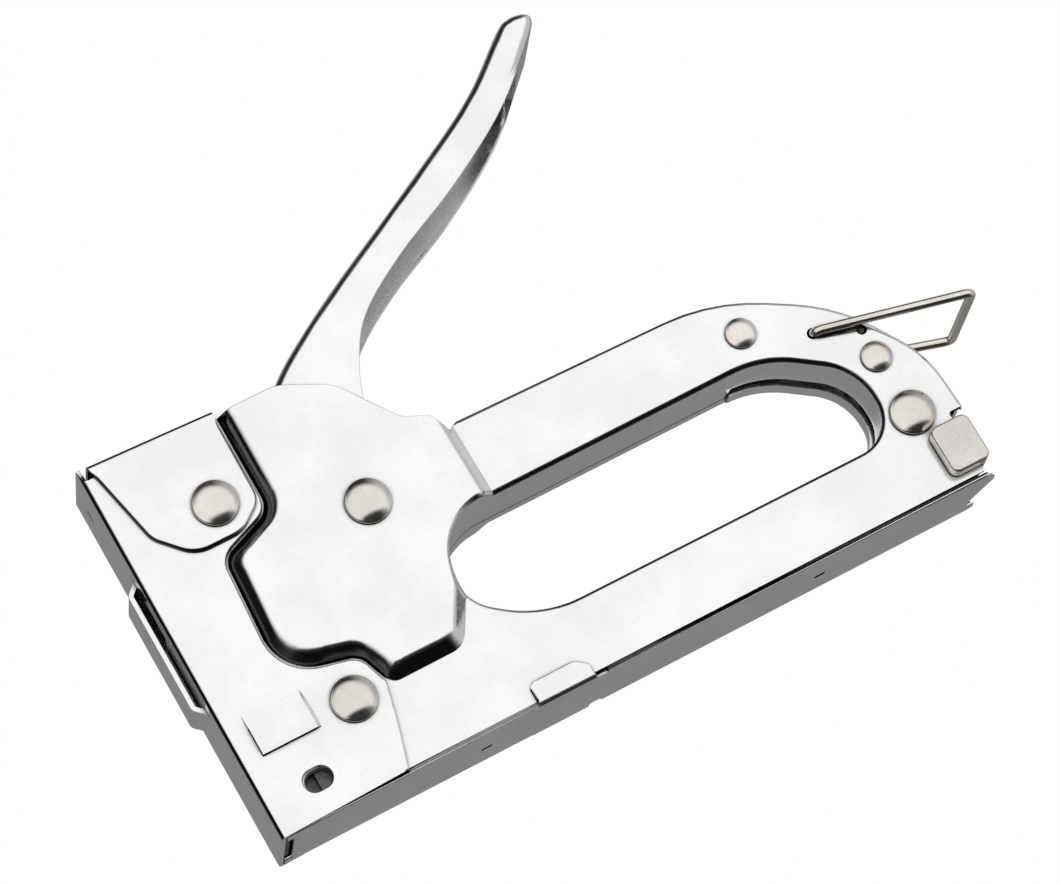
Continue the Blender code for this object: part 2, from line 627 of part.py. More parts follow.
def springs_and_stops():
    seat = prism("spring_seat", circle(nose(SPRING_X), 0, SEAT_RADIUS), SEAT_BOTTOM, SEAT_TOP,
                 "hard_steel", "xy")
    spigot = circle(nose(SPRING_X), 0, SPRING_RADIUS - SPRING_WIRE - SPIGOT_PLAY, 12)
    travel = 2 * STROKE_ARM * sin(radians(SWING / 2))
    boolean(seat, prism("spigot", spigot, HAMMER_TOP + travel + 0.7, SEAT_TOP - 0.5, plane="xy"),
            "UNION")
    shelf = HAMMER_BOTTOM - 3.3
    side = CHANNEL_HALF - BUMPER_SIDE
    block("bumper", (nose(3.0), nose(11.2)), (-side, side), (shelf + RUN, HAMMER_BOTTOM - RUN), "rubber")

    low, high = HAMMER_TOP + RUN + SPRING_WIRE, SEAT_BOTTOM - RUN - SPRING_WIRE
    coil = compression_coil(nose(SPRING_X), low, high)
    wire("main_spring", coil, SPRING_WIRE, "spring_steel")

    turns, step = 4, 12
    start, end = 3.4, LEVER_HALF - LEVER_SHEET - 2.0
    last = turns * step + 4
    torsion = [(nose(PIVOT_X + 7.2), start, PIVOT_Z + 15.5)]
    for i in range(last + 1):
        angle = pi / 12 - 2 * pi * i / step
        torsion.append((nose(PIVOT_X) + TORSION_RADIUS * cos(angle), start + (end - start) * i / last,
                        PIVOT_Z + TORSION_RADIUS * sin(angle)))
    torsion.append((nose(PIVOT_X - 11.0), end, PIVOT_Z - 8.5))
    wire("lever_spring", torsion, TORSION_WIRE, "spring_steel")


def compression_coil(x, low, high):
    """Points of the main spring: even turns between closed end turns one wire thick."""
    step = 12
    count = SPRING_TURNS * step
    flat = 2 * SPRING_WIRE + 0.15
    points = []
    for i in range(count + 1):
        if i < step:
            z = low + flat * i / step
        elif i > count - step:
            z = high - flat * (count - i) / step
        else:
            z = low + flat + (high - low - 2 * flat) * (i - step) / (count - 2 * step)
        angle = 2 * pi * i / step
        points.append((x + SPRING_RADIUS * cos(angle), SPRING_RADIUS * sin(angle), z))
    return points


# ---- magazine -------------------------------------------------------------------------------

def staple_rail():
    """The inner rail that the staples ride on, with its handle clip at the heel."""
    half = RAIL_HALF
    floor = BASE_SHEET + LAY + CHANNEL_SHEET + RUN
    length = (nose(RAIL_FRONT), tail(-0.1))
    rail = block("staple_rail", length, (-half, half), (floor, RAIL_TOP), "hard_steel")
    inner = half - RAIL_SHEET
    boolean(rail, block("run", (length[0] + RAIL_SHEET, length[1] + 1), (-inner, inner),
                        (floor - 1, RAIL_TOP - RAIL_SHEET)))


def rear_clip():
    """The clip behind the heel: a web with an ear down each side, pulled to open the magazine."""
    web = tail(-RUN)
    outer = HALF + CLIP_RISE
    front, back = tail(CLIP_REACH), tail(CLIP_REACH - CLIP_LENGTH)
    corners = [(front, CLIP_BOTTOM, 1.6), (back, CLIP_BOTTOM, 1.6), (back, CLIP_TOP, 0.5),
               (front, CLIP_TOP, 1.6)]
    clip = loft("rear_clip", [
        (rounded(inset(corners, 0.5)), -outer),
        (rounded(corners), 0.5 - outer),
        (rounded(corners), outer - 0.5),
        (rounded(inset(corners, 0.5)), outer),
    ], "nickel")
    body = (front - 1, web)
    boolean(clip, block("body", body, (-HALF - RUN, HALF + RUN), (0, 20)))
    hollow = (front + 1.0, web)
    boolean(clip, block("ears", hollow, (1.0 - outer, outer - 1.0), (CLIP_BOTTOM + 1, CLIP_TOP - 1)))


def pusher():
    """The saddle that drives the staples forward along the rail."""
    half = CHANNEL_HALF - CHANNEL_SHEET - RUN
    inner = RAIL_HALF + RUN
    low = BASE_SHEET + LAY + CHANNEL_SHEET + RUN
    length = (nose(PUSHER_FRONT), nose(PUSHER_FRONT + PUSHER_LENGTH))
    saddle = block("pusher", length, (-half, half), (low, PUSHER_TOP), "hard_steel")
    boolean(saddle, block("over_rail", (length[0] - 1, length[1] + 1), (-inner, inner),
                          (low - 1, RAIL_TOP + RUN)))


def pusher_spring():
    """The pusher's spring on its rod, which runs inside the rail from end to end."""
    height = 6.8
    back = tail(0)
    rod = circle(0, height, 0.9, 8)
    prism("pusher_rod", rod, nose(RAIL_FRONT) + RAIL_SHEET + RUN, back, "hard_steel", "yz")
    turns, step = 14, 8
    first, last = nose(PUSHER_FRONT + PUSHER_LENGTH), back - 3
    coil = []
    for i in range(turns * step + 1):
        angle = 2 * pi * i / step
        coil.append((first + (last - first) * i / (turns * step), 2.1 * cos(angle),
                     height + 2.1 * sin(angle)))
    spring = wire("pusher_spring", coil, 0.4, "spring_steel")
    spring.data.bevel_resolution = 1


# ---- bail -----------------------------------------------------------------------------------

def bend(corners, radius, steps=3):
    """A wire's path through 3-D corners, each rounded by a smooth bend."""
    points = [Vector(corners[0])]
    for before, here, after in zip(corners, corners[1:], corners[2:]):
        here = Vector(here)
        back, on = Vector(before) - here, Vector(after) - here
        first, last = here + back.normalized() * radius, here + on.normalized() * radius
        for i in range(steps + 1):
            t = i / steps
            points.append(first * (1 - t)**2 + here * 2 * t * (1 - t) + last * t**2)
    return points + [Vector(corners[-1])]


def bail():
    """The wire loop at the heel that swings up over the lever to lock it shut."""
    angle = radians(BAIL_ANGLE)
    pivot = (tail(BAIL_X), BAIL_Z)
    end = (pivot[0] + BAIL_LENGTH * cos(angle), pivot[1] + BAIL_LENGTH * sin(angle))
    knee = HALF + RUN + BAIL_WIRE
    tip = knee + BAIL_SPLAY
    inside = HALF - SHELL_SHEET - CHANNEL_SHEET - RUN - 0.8
    half_path = [(pivot[0], inside, pivot[1]), (pivot[0], knee, pivot[1]), (end[0], tip, end[1])]
    path = [(x, -y, z) for x, y, z in half_path] + half_path[::-1]
    wire("bail", bend(path, 1.6), BAIL_WIRE, "nickel")


# ---- assembly -------------------------------------------------------------------------------

def hang(name, place, *pieces):
    """An empty on a joint's axis, which carries the pieces that move on it."""
    pivot = bpy.data.objects.new(name, None)
    pivot.location = [c * MM for c in place]
    bpy.context.scene.collection.objects.link(pivot)
    for piece in pieces:
        obj = bpy.data.objects[piece]
        obj.parent = pivot
        obj.matrix_parent_inverse = Matrix.Translation(-pivot.location)


def main():
    for obj in list(bpy.data.objects):
        bpy.data.objects.remove(obj, do_unlink=True)
    side_shell("left_side_shell", -1, SEAM_Y - LAY, HEEL_FLANGE_Y)
    side_shell("right_side_shell", 1, SEAM_Y + LAY, HALF)
    nose_shell()
    top_cap()
    base_plate()
    magazine_channel()
    nose_guide()
    heel_stiffener()
    for name, (x, z, head, dome, seat) in RIVETS.items():
        rivet(name, x, z, head, dome, seat)
    inner = HALF - SHELL_SHEET - RUN
    heel_side = inner - CHANNEL_SHEET - RUN
    for name in ("grip", "heel_upper", "heel_lower"):
        x, z = RIVETS[f"rivet_{name}"][:2]
        spacer(f"spacer_{name}", x, z, -inner, heel_side)
    guide_side = CHANNEL_HALF - 2 * RUN - CHANNEL_SHEET
    spacer("spacer_nose", *RIVETS["rivet_nose"][:2], -guide_side, guide_side)
    cross_pin("stop_pin", tail(STOP_X), STOP_Z, STOP_PIN, HALF - 0.3)
    lever()
    tip_x, tip_z = lifter()
    cross_pin("lever_pin", *lever_pin_place(), LEVER_PIN, LEVER_HALF - 0.2)
    hammer(tip_x, tip_z)
    springs_and_stops()
    staple_rail()
    rear_clip()
    pusher()
    pusher_spring()
    bail()
    hang("lever_hinge", (nose(PIVOT_X), 0, PIVOT_Z), "lever", "lifter", "lever_pin", "lever_spring")
    hang("hammer_slide", (nose(SPRING_X), 0, HAMMER_BOTTOM), "hammer", "hammer_pin", "striker_blade")
    hang("rail_slide", (0, 0, RAIL_TOP), "staple_rail", "rear_clip", "pusher_rod", "pusher_spring")
    hang("pusher_slide", (nose(PUSHER_FRONT), 0, RAIL_TOP), "pusher")
    hang("bail_hinge", (tail(BAIL_X), 0, BAIL_Z), "bail")


main()
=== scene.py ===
from math import atan2, cos, hypot, pi, radians, sin, tan

import bpy
import numpy as np
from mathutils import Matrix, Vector
from mathutils.geometry import delaunay_2d_cdt


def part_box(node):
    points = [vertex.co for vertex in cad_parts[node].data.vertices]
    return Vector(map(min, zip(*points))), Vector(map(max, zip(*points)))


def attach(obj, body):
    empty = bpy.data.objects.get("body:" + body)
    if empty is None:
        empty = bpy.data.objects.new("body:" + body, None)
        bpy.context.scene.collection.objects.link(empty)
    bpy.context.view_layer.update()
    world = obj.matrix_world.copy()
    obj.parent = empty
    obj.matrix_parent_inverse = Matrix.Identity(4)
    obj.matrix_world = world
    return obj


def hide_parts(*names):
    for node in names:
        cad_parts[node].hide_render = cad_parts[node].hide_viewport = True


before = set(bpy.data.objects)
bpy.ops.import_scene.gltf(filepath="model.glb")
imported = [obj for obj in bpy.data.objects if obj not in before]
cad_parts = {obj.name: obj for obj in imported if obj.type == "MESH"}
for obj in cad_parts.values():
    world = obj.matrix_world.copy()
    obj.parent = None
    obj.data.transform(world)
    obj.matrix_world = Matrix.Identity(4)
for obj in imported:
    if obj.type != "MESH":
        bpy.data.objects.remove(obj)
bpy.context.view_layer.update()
mm = 0.001
print("frame loaded:", len(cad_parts), "nodes")

# the casing's own sizes, in millimetres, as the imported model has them
gun = {
    "length": 158.5,          # nose front to the sole's rear edge
    "halfWidth": 9.0,         # out to a side shell
    "height": 83.9,           # top of the cap
    "shellSheet": 1.0,
    "noseSheet": 0.9,
    "lay": 0.2,               # gap between sheets that lie on each other
    "run": 0.3,               # gap round what moves
    "bulgeRise": 3.0,
    "edgeBreak": 0.13,        # small chamfer that every cut edge has
}
noseOut = gun["halfWidth"] + gun["lay"] + gun["noseSheet"]
capOut = noseOut + gun["lay"] + gun["noseSheet"]
bulgeOut = gun["halfWidth"] + gun["bulgeRise"]


def nose(x):
    return x - gun["length"] / 2


def tail(x):
    return gun["length"] / 2 - x


bailHinge = (tail(15.5), 42.3)    # where the bail turns in the heel


# ---------- shader wires ----------

class Wire:
    # one output of a node; sums and products with it add Math nodes
    def __init__(self, tree, made, output=0):
        self.tree, self.made, self.socket = tree, made, made.outputs[output]

    def out(self, name):
        return Wire(self.tree, self.made, name)

    def node(self, kind, settings=None, inputs=None, output=0):
        made = self.tree.nodes.new(kind)
        for key, value in (settings or {}).items():
            if key == "stops":
                while len(made.color_ramp.elements) < len(value):
                    made.color_ramp.elements.new(0.5)
                for stop, (place, colour) in zip(made.color_ramp.elements, value):
                    stop.position, stop.color = place, (*colour, 1)
            else:
                setattr(made, key, value)
        for key, value in (inputs or {}).items():
            if isinstance(value, Wire):
                self.tree.links.new(value.socket, made.inputs[key])
            else:
                made.inputs[key].default_value = value
        return Wire(self.tree, made, output)

    def sum(self, operation, *terms, clamp=False):
        return self.node("ShaderNodeMath", {"operation": operation, "use_clamp": clamp},
                         dict(enumerate(terms)))

    def __add__(self, other): return self.sum("ADD", self, other)
    def __radd__(self, other): return self.sum("ADD", other, self)
    def __sub__(self, other): return self.sum("SUBTRACT", self, other)
    def __rsub__(self, other): return self.sum("SUBTRACT", other, self)
    def __mul__(self, other): return self.sum("MULTIPLY", self, other)
    def __rmul__(self, other): return self.sum("MULTIPLY", other, self)
    def __truediv__(self, other): return self.sum("DIVIDE", self, other)
    def __rtruediv__(self, other): return self.sum("DIVIDE", other, self)
    def __pow__(self, other): return self.sum("POWER", self, other)
    def __neg__(self): return self.sum("MULTIPLY", self, -1)

    def step(self, low, high):
        # 0 below low and 1 above high, smooth between them
        return self.node("ShaderNodeMapRange", {"interpolation_type": "SMOOTHSTEP"},
                         {"Value": self, "From Min": low, "From Max": high})

    def blend(self, first, second):
        # a colour between two, with this wire as the share of the second one
        made = self.node("ShaderNodeMix", {"data_type": "RGBA"}, {0: self})
        for index, colour in ((6, first), (7, second)):
            if isinstance(colour, Wire):
                self.tree.links.new(colour.socket, made.made.inputs[index])
            else:
                made.made.inputs[index].default_value = (*colour, 1)
        return made.out(2)


def newMaterial(name):
    material = bpy.data.materials.new(name)
    material.use_nodes = True
    tree = material.node_tree
    shader = tree.nodes["Principled BSDF"]
    place = Wire(tree, tree.nodes.new("ShaderNodeTexCoord"), "Object")
    return material, shader, place


def feed(place, shader, **wires):
    for key, wire in wires.items():
        place.tree.links.new(wire.socket, shader.inputs[key.replace("_", " ")])


def noise(place, size, detail=2.0, stretch=(1, 1, 1)):
    # cloudy pattern whose patches are about size millimetres across
    scaled = place.node("ShaderNodeMapping", {"vector_type": "POINT"},
                        {"Vector": place, "Scale": [1 / (size * mm * s) for s in stretch]})
    return place.node("ShaderNodeTexNoise", {"noise_dimensions": "3D"},
                      {"Vector": scaled, "Scale": 1.0, "Detail": detail, "Roughness": 0.55})


def metalFinish(name, look):
    # plated or bare steel: clouded tint and gloss, fine grain, faint handling scratches, and painted shade in
    # creases and on walls that face forward or down
    material, shader, place = newMaterial(name)
    cloud = noise(place, look["cloud"], 3.0)
    speck = noise(place, look["speck"], 2.0)
    hair = noise(place, look["hair"], 1.0, (14, 3, 1))
    hairAcross = noise(place, look["hair"], 1.0, (1.5, 5, 17))
    scratch = hair.step(0.66, 0.72) + hairAcross.step(0.67, 0.73)
    tint = cloud.step(0.3, 0.7).blend(look["dark"], look["light"])
    tint = (speck.step(0.35, 0.75) * look["speckShare"]).blend(tint, look["dull"])
    # painted shade: the colour darkens towards paintedShade where ambient occlusion finds creases, recesses
    # and gaps between parts
    crease = place.node("ShaderNodeAmbientOcclusion", {"samples": 8},
                        {"Distance": look["creaseReach"] * mm}, "AO")
    tint = ((1 - crease.step(0.4, 0.9)) * look["crease"]).blend(tint, look["paintedShade"])
    # painted shade: walls of pressed sheet that face forward or down are darkened by their normal, standing
    # in for the dark reflection they catch
    facing = place.node("ShaderNodeSeparateXYZ", None, {0: place.out("Normal")})
    level = facing.sum("ABSOLUTE", facing.out("Y"))
    wall = level.step(0.06, 0.2) * (1 - level.step(0.72, 0.95)) * (1 - facing.step(0.05, 0.4))
    tint = (wall * look["paintedWallShade"]).blend(tint, look["paintedShade"])       # pressed walls that look forward or down
    feed(place, shader, Base_Color=tint,
         Roughness=(look["rough"] + cloud.step(0.35, 0.7) * look["roughCloud"]
                    + speck.step(0.4, 0.8) * look["roughSpeck"] + scratch * look["roughScratch"]))
    height = cloud * look["waveHeight"] + speck * look["grainHeight"] - scratch * look["scratchDepth"]
    bump = place.node("ShaderNodeBump", None, {"Height": height, "Distance": mm, "Strength": 1.0}, "Normal")
    feed(place, shader, Normal=bump)
    shader.inputs["Metallic"].default_value = look["metallic"]
    return material


# sizes of the patterns are in millimetres, and the shares and heights act on their own socket
# creaseReach, crease and paintedShade set the painted shade in creases; paintedWallShade is its share on
# walls facing forward or down
plating = {
    "cloud": 14, "speck": 0.9, "hair": 0.35, "dark": (0.84, 0.843, 0.847), "light": (0.925, 0.927, 0.93),
    "dull": (0.76, 0.764, 0.77), "speckShare": 0.16, "rough": 0.13, "roughCloud": 0.07,
    "roughSpeck": 0.05, "roughScratch": 0.06, "waveHeight": 0.035, "grainHeight": 0.004,
    "scratchDepth": 0.001, "metallic": 1.0, "creaseReach": 1.8, "crease": 0.92,
    "paintedShade": (0.10, 0.098, 0.095), "paintedWallShade": 0.0,
}
# pressed sheets also get painted shade on their walls that face forward or down, in a darker shade colour
pressed = dict(plating, paintedWallShade=0.93, paintedShade=(0.045, 0.046, 0.05))
nickelLook = dict(plating, dark=(0.70, 0.66, 0.62), light=(0.84, 0.80, 0.76), dull=(0.55, 0.51, 0.48),
                  speckShare=0.2, rough=0.14, waveHeight=0.008)
clipLook = dict(plating, dark=(0.66, 0.63, 0.60), light=(0.80, 0.77, 0.745), dull=(0.50, 0.47, 0.44),
                speck=0.45, speckShare=0.35, rough=0.26, roughSpeck=0.12, waveHeight=0.01, grainHeight=0.012)
hardLook = dict(plating, dark=(0.10, 0.10, 0.105), light=(0.17, 0.17, 0.175), dull=(0.07, 0.07, 0.07),
                speckShare=0.4, rough=0.36, roughSpeck=0.12, waveHeight=0.01, grainHeight=0.01)
springLook = dict(plating, dark=(0.30, 0.30, 0.31), light=(0.44, 0.44, 0.45), dull=(0.20, 0.18, 0.17),
                  speckShare=0.4, rough=0.3, waveHeight=0.004)
rubberLook = dict(plating, dark=(0.022, 0.022, 0.023), light=(0.035, 0.035, 0.036), dull=(0.05, 0.05, 0.05),
                  speckShare=0.3, rough=0.62, roughCloud=0.1, waveHeight=0.01, grainHeight=0.02, metallic=0.0)
finish = {
    "plating": metalFinish("zincPlating", plating),
    "pressed": metalFinish("pressedPlating", pressed),
    "nickel": metalFinish("warmNickel", nickelLook),
    "clip": metalFinish("rolledNickel", clipLook),
    "hard": metalFinish("oiledSteel", hardLook),
    "spring": metalFinish("springWire", springLook),
    "rubber": metalFinish("bumperRubber", rubberLook),
}
print("finishes made:", len(finish))


# ---------- outlines ----------

def insetOutline(corners, distance):
    # corners (x, z, radius) moved inwards; a negative distance moves them out
    flat = [c[:2] for c in corners]
    area = sum(a[0] * b[1] - b[0] * a[1] for a, b in zip(flat, flat[1:] + flat[:1]))
    sign = 1.0 if area > 0 else -1.0
    moved = []
    for i, (x, z, radius) in enumerate(corners):
        before, here, after = (Vector(corners[(i + k) % len(corners)][:2]) for k in (-1, 0, 1))
        into, out = (here - before).normalized(), (after - here).normalized()
        bend = into.x * out.y - into.y * out.x
        normalIn, normalOut = Vector((-into.y, into.x)) * sign, Vector((-out.y, out.x)) * sign
        shift = (normalIn + normalOut) * (distance / (1 + normalIn.dot(normalOut)))
        if radius:
            radius = max(radius - distance * (1 if bend * sign > 0 else -1), 0.2)
        moved.append((here.x + shift.x, here.y + shift.y, radius))
    return moved


def roundCorners(corners, stepAngle=6):
    # points of an outline whose corners are rounded by arcs
    points = []
    for i, (x, z, radius) in enumerate(corners):
        here = Vector((x, z))
        if not radius:
            points.append((x, z))
            continue
        toBefore = (Vector(corners[i - 1][:2]) - here).normalized()
        toAfter = (Vector(corners[(i + 1) % len(corners)][:2]) - here).normalized()
        halfAngle = toBefore.angle(toAfter) / 2
        centre = here + (toBefore + toAfter).normalized() * (radius / sin(halfAngle))
        first = here + toBefore * (radius / tan(halfAngle)) - centre
        last = here + toAfter * (radius / tan(halfAngle)) - centre
        start = atan2(first.y, first.x)
        sweep = (atan2(last.y, last.x) - start + pi) % (2 * pi) - pi
        steps = max(2, int(abs(sweep) / radians(stepAngle)) + 1)
        for step in range(steps + 1):
            angle = start + sweep * step / steps
            points.append((centre.x + radius * cos(angle), centre.y + radius * sin(angle)))
    return points


def smoothLine(points, steps=6):
    # a curve through the given points
    ends = [points[0]] + points + [points[-1]]
    curve = []
    for a, b, c, d in zip(ends, ends[1:], ends[2:], ends[3:]):
        for step in range(steps):
            t = step / steps
            curve.append(tuple(
                0.5 * (2 * q + (r - p) * t + (2 * p - 5 * q + 4 * r - s) * t**2
                       + (3 * q - p - 3 * r + s) * t**3)
                for p, q, r, s in zip(a, b, c, d)))
    return curve + [points[-1]]


def arcPoints(x, z, radius, first, last, steps):
    angles = [radians(first + (last - first) * i / steps) for i in range(steps + 1)]
    return [(x + radius * cos(a), z + radius * sin(a)) for a in angles]


def ringPoints(x, z, radius, steps=28):
    return arcPoints(x, z, radius, 0, 360, steps)[:-1]


def slotPoints(x, z, length, height, steps=12):
    reach = (length - height) / 2
    return (arcPoints(x + reach, z, height / 2, -90, 90, steps)
            + arcPoints(x - reach, z, height / 2, 90, 270, steps))


def split(points, most, closed=True):
    # the same line with no stretch longer than most
    result = []
    pairs = list(zip(points, points[1:] + points[:1])) if closed else list(zip(points, points[1:]))
    for (ax, az), (bx, bz) in pairs:
        count = max(1, int(np.ceil(hypot(bx - ax, bz - az) / most)))
        result += [(ax + (bx - ax) * i / count, az + (bz - az) * i / count) for i in range(count)]
    return result if closed else result + [points[-1]]


def distanceTo(places, line, closed=True):
    # how far each place is from a line
    line = np.array(line, float)
    starts = line if closed else line[:-1]
    ends = np.roll(line, -1, axis=0) if closed else line[1:]
    along = ends - starts
    length2 = np.maximum((along**2).sum(1), 1e-12)
    nearest = np.full(len(places), 1e9)
    for start, run, squared in zip(starts, along, length2):
        share = np.clip(((places - start) @ run) / squared, 0, 1)
        gap = places - (start + share[:, None] * run)
        nearest = np.minimum(nearest, np.hypot(gap[:, 0], gap[:, 1]))
    return nearest


def within(places, outline):
    outline = np.array(outline, float)
    x, z = places[:, 0], places[:, 1]
    inside = np.zeros(len(places), bool)
    for (ax, az), (bx, bz) in zip(outline, np.roll(outline, -1, axis=0)):
        crosses = (az > z) != (bz > z)
        if az != bz:
            inside ^= crosses & (x < (bx - ax) * (z - az) / (bz - az) + ax)
    return inside


def shiftedLine(outline, distance):
    # a closed outline that runs anticlockwise, moved inwards point by point
    line = np.array(outline)
    tangent = np.roll(line, -1, axis=0) - np.roll(line, 1, axis=0)
    tangent /= np.maximum(np.hypot(tangent[:, 0], tangent[:, 1])[:, None], 1e-9)
    moved = line + distance * np.column_stack([-tangent[:, 1], tangent[:, 0]])
    clear = (distanceTo(moved, outline) > distance * 0.93) & within(moved, outline)
    return [tuple(p) for p in moved[clear]]


def signedGap(places, outline):
    # positive inside the outline
    return distanceTo(places, outline) * np.where(within(places, outline), 1, -1)


def ease(share):
    share = np.clip(share, 0, 1)
    return share * share * (3 - 2 * share)


def rollOver(gap, radius):
    # how far a sheet has turned in at this distance from its folded edge
    gap = np.clip(gap, 0, radius)
    return radius - np.sqrt(np.maximum(radius**2 - (radius - gap)**2, 0))


def rollSteps(radius, *angles):
    # how far in from the edge the sheet has these angles left to turn
    return [radius * (1 - cos(radians(angle))) for angle in angles]


def foldOver(along, flat, bend):
    # a sheet that is flat this far and then bends square: how far out it is, and how far down
    turn = np.clip((along - flat) / bend, 0, pi / 2)
    out = np.minimum(along, flat) + bend * np.sin(turn)
    return out, bend * (1 - np.cos(turn)) + np.clip(along - (flat + bend * pi / 2), 0, None)


def foldPlaces(flat, bend, steps, beyond=()):
    # where the flat sheet is divided so that its bend comes out round
    return [flat + share * bend * pi / 2 for share in [i / steps for i in range(steps + 1)] + list(beyond)]


def onSheet(outline, holes=()):
    # a test that says which places are on the sheet and off its holes
    def keep(centres):
        inside = within(centres, outline)
        for hole in holes:
            inside &= ~within(centres, hole)
        return inside
    return keep


# ---------- sheet metal ----------

onLine = 0.004                # a corner this near a line, in millimetres, is on it


def addObject(name, points, faces):
    mesh = bpy.data.meshes.new(name)
    mesh.from_pydata([[c * mm for c in p] for p in points], [], faces)
    mesh.update()
    obj = bpy.data.objects.new(name, mesh)
    bpy.context.scene.collection.objects.link(obj)
    return obj


def pickOnly(obj):
    bpy.ops.object.select_all(action="DESELECT")
    obj.select_set(True)
    bpy.context.view_layer.objects.active = obj


def applyAll(obj):
    pickOnly(obj)
    for modifier in list(obj.modifiers):
        bpy.ops.object.modifier_apply(modifier=modifier.name)


def shadeByAngle(obj, angle):
    pickOnly(obj)
    bpy.ops.object.shade_smooth_by_angle(angle=radians(angle))


def sheet(name, lines, keep, lift, folds=()):
    # a sheet's outer face: lines are cut and fold lines on the flat, keep says what stays,
    # lift bends the flat into place, and each fold gives where a boundary's flange ends
    flat, edges = [], []
    for points, closed in lines:
        first = len(flat)
        flat += [Vector(p) for p in points]
        edges += [(first + i, first + i + 1) for i in range(len(points) - 1)]
        if closed:
            edges.append((first + len(points) - 1, first))
    cut = delaunay_2d_cdt(flat, edges, [], 0, 1e-4)
    places = np.array([v[:] for v in cut[0]])
    faces = np.array([f for f in cut[2] if len(f) == 3])
    faces = faces[keep(places[faces].mean(axis=1))]
    solid = lift(places)
    points, polygons = [list(p) for p in solid], [list(map(int, f)) for f in faces]
    sides = {}
    for face in polygons:
        for a, b in zip(face, face[1:] + face[:1]):
            sides[(a, b)] = sides.get((a, b), 0) + 1
    rim = [(a, b) for a, b in sides if (b, a) not in sides]
    for fold in folds:
        below = {}
        for a, b in rim:
            ends = fold(places[[a, b]], solid[[a, b]])
            if ends is None:
                continue
            for corner, end in zip((a, b), ends):
                if corner not in below:
                    below[corner] = len(points)
                    points.append(list(end))
            polygons.append([b, a, below[a], below[b]])
    used = sorted({i for f in polygons for i in f})
    index = {old: new for new, old in enumerate(used)}
    return addObject(name, [points[i] for i in used], [[index[i] for i in f] for f in polygons])


def thicken(obj, thickness, mirrorAcross=None, angle=38):
    # gives a sheet its thickness, inwards, and keeps its flats flat in the light
    mostCorner = 1.6 * thickness * mm             # a corner longer than this is too sharp for an even wall
    if mirrorAcross is not None:
        mirror = obj.modifiers.new("mirror", "MIRROR")
        mirror.use_axis = [axis == mirrorAcross for axis in "XYZ"]
        mirror.merge_threshold = 0.005 * mm
    applyAll(obj)
    outer = np.array([v.co[:] for v in obj.data.vertices])
    solid = obj.modifiers.new("sheet", "SOLIDIFY")
    solid.thickness = thickness * mm
    solid.offset = -1
    solid.use_even_offset = True
    solid.thickness_clamp = 0
    applyAll(obj)
    both = np.array([v.co[:] for v in obj.data.vertices])
    count = len(outer)
    through = both[count:2 * count] - outer
    far = np.linalg.norm(through, axis=1) > mostCorner
    for i in np.flatnonzero(far):
        near = np.where(far, 1e9, np.linalg.norm(outer - outer[i], axis=1)).argmin()
        both[count + i] = outer[i] + through[near]
    obj.data.vertices.foreach_set("co", both.ravel())
    obj.data.update()
    print(obj.name, "corners held:", int(far.sum()), "of", count)
    shadeByAngle(obj, angle)
    weigh = obj.modifiers.new("flats", "WEIGHTED_NORMAL")
    weigh.keep_sharp = True
    weigh.weight = 60
    applyAll(obj)
    return obj


def place(obj, body, material, slot, *nodes):
    obj.data.materials.clear()
    obj.data.materials.append(finish[material])
    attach(obj, body)
    if nodes:
        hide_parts(*nodes)
    return obj


def rivetPlace(name):
    low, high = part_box(name)
    return (low.x + high.x) / 2 / mm, (low.z + high.z) / 2 / mm


# ---------- side shells ----------

shell = {
    "bottom": 1.2,
    "bend": 1.3,              # outer radius of the folded rims
    "seam": 5.0,              # where the two shells' flanges meet
    "heelFlange": 1.0,
    "linerFront": 33.8,
    "linerRim": 2.2,          # by the liner, the right shell's rim ends this far inside its face
    "rimEnds": ((tail(-3.4), 16.0), (nose(70.0), 59.2)),      # the folded rim runs between these
    "outline": [
        (nose(1.2), 1.2, 0.4), (tail(0), 1.2, 0.4), (tail(0), 15.1, 0.4), (tail(-3.4), 15.1, 0.7),
        (tail(-2.8), 28.3, 24), (tail(8.0), 45.5, 36), (tail(29.6), 58.3, 42), (nose(70.8), 59.4, 0.8),
        (nose(68.6), 57.7, 0.4), (nose(66.2), 61.9, 3), (nose(61.2), 64.0, 5), (nose(52.5), 76.3, 9),
        (nose(42.5), 81.4, 9), (nose(35.8), 81.4, 0.5), (nose(1.2), 81.5, 0.4)],
    "loop": [
        (nose(54.7), 25.4, 10), (nose(66.3), 16.2, 24), (tail(11.4), 15.9, 8.4), (tail(11.4), 31.8, 12.4),
        (tail(26.9), 42.6, 22), (nose(54.7), 42.4, 12.6)],
    "pocket": [
        (nose(29.3), 91.9, 0.5), (nose(29.3), 60.0, 4.5), (nose(16.8), 55.1, 4.5), (nose(15.3), 28.9, 9.5),
        (nose(30.5), 25.3, 4), (nose(33.2), 17.4, 3.2), (nose(49.8), 17.6, 4.5), (nose(56.8), 29.5, 1),
        (nose(70.2), 33.0, 1), (nose(69.8), 66.0, 1), (nose(66.6), 91.9, 0.5)],
    "slope": 4.0,             # width of the bulge's sloping wall
    "slopeFoot": 0.35,        # it steepens over this far and softens over the other
    "slopeTop": 2.0,
    "topCorners": [0.5, 8, 4, 8, 7.5, 2.5, 3.5, 2.5, 1, 1, 0.5],
    "window": (nose(12.1), 7.2, 6.4, 5.0),
    "bailHole": 1.25,
    "stopHole": 1.1,
}
shellEdge = split(roundCorners(shell["outline"]), 3)
loopEdge = split(roundCorners(shell["loop"], 4), 1.0)
topCorners = [(x, z, max(r, 0.5)) for (x, z, _), r in
              zip(insetOutline(shell["pocket"], shell["slope"]), shell["topCorners"])]


def pocketRing(share):
    # the bulge's outline between its foot, at 0, and the edge of its flat top, at 1
    return roundCorners([tuple(a + (b - a) * share for a, b in zip(foot, top))
                         for foot, top in zip(shell["pocket"], topCorners)])


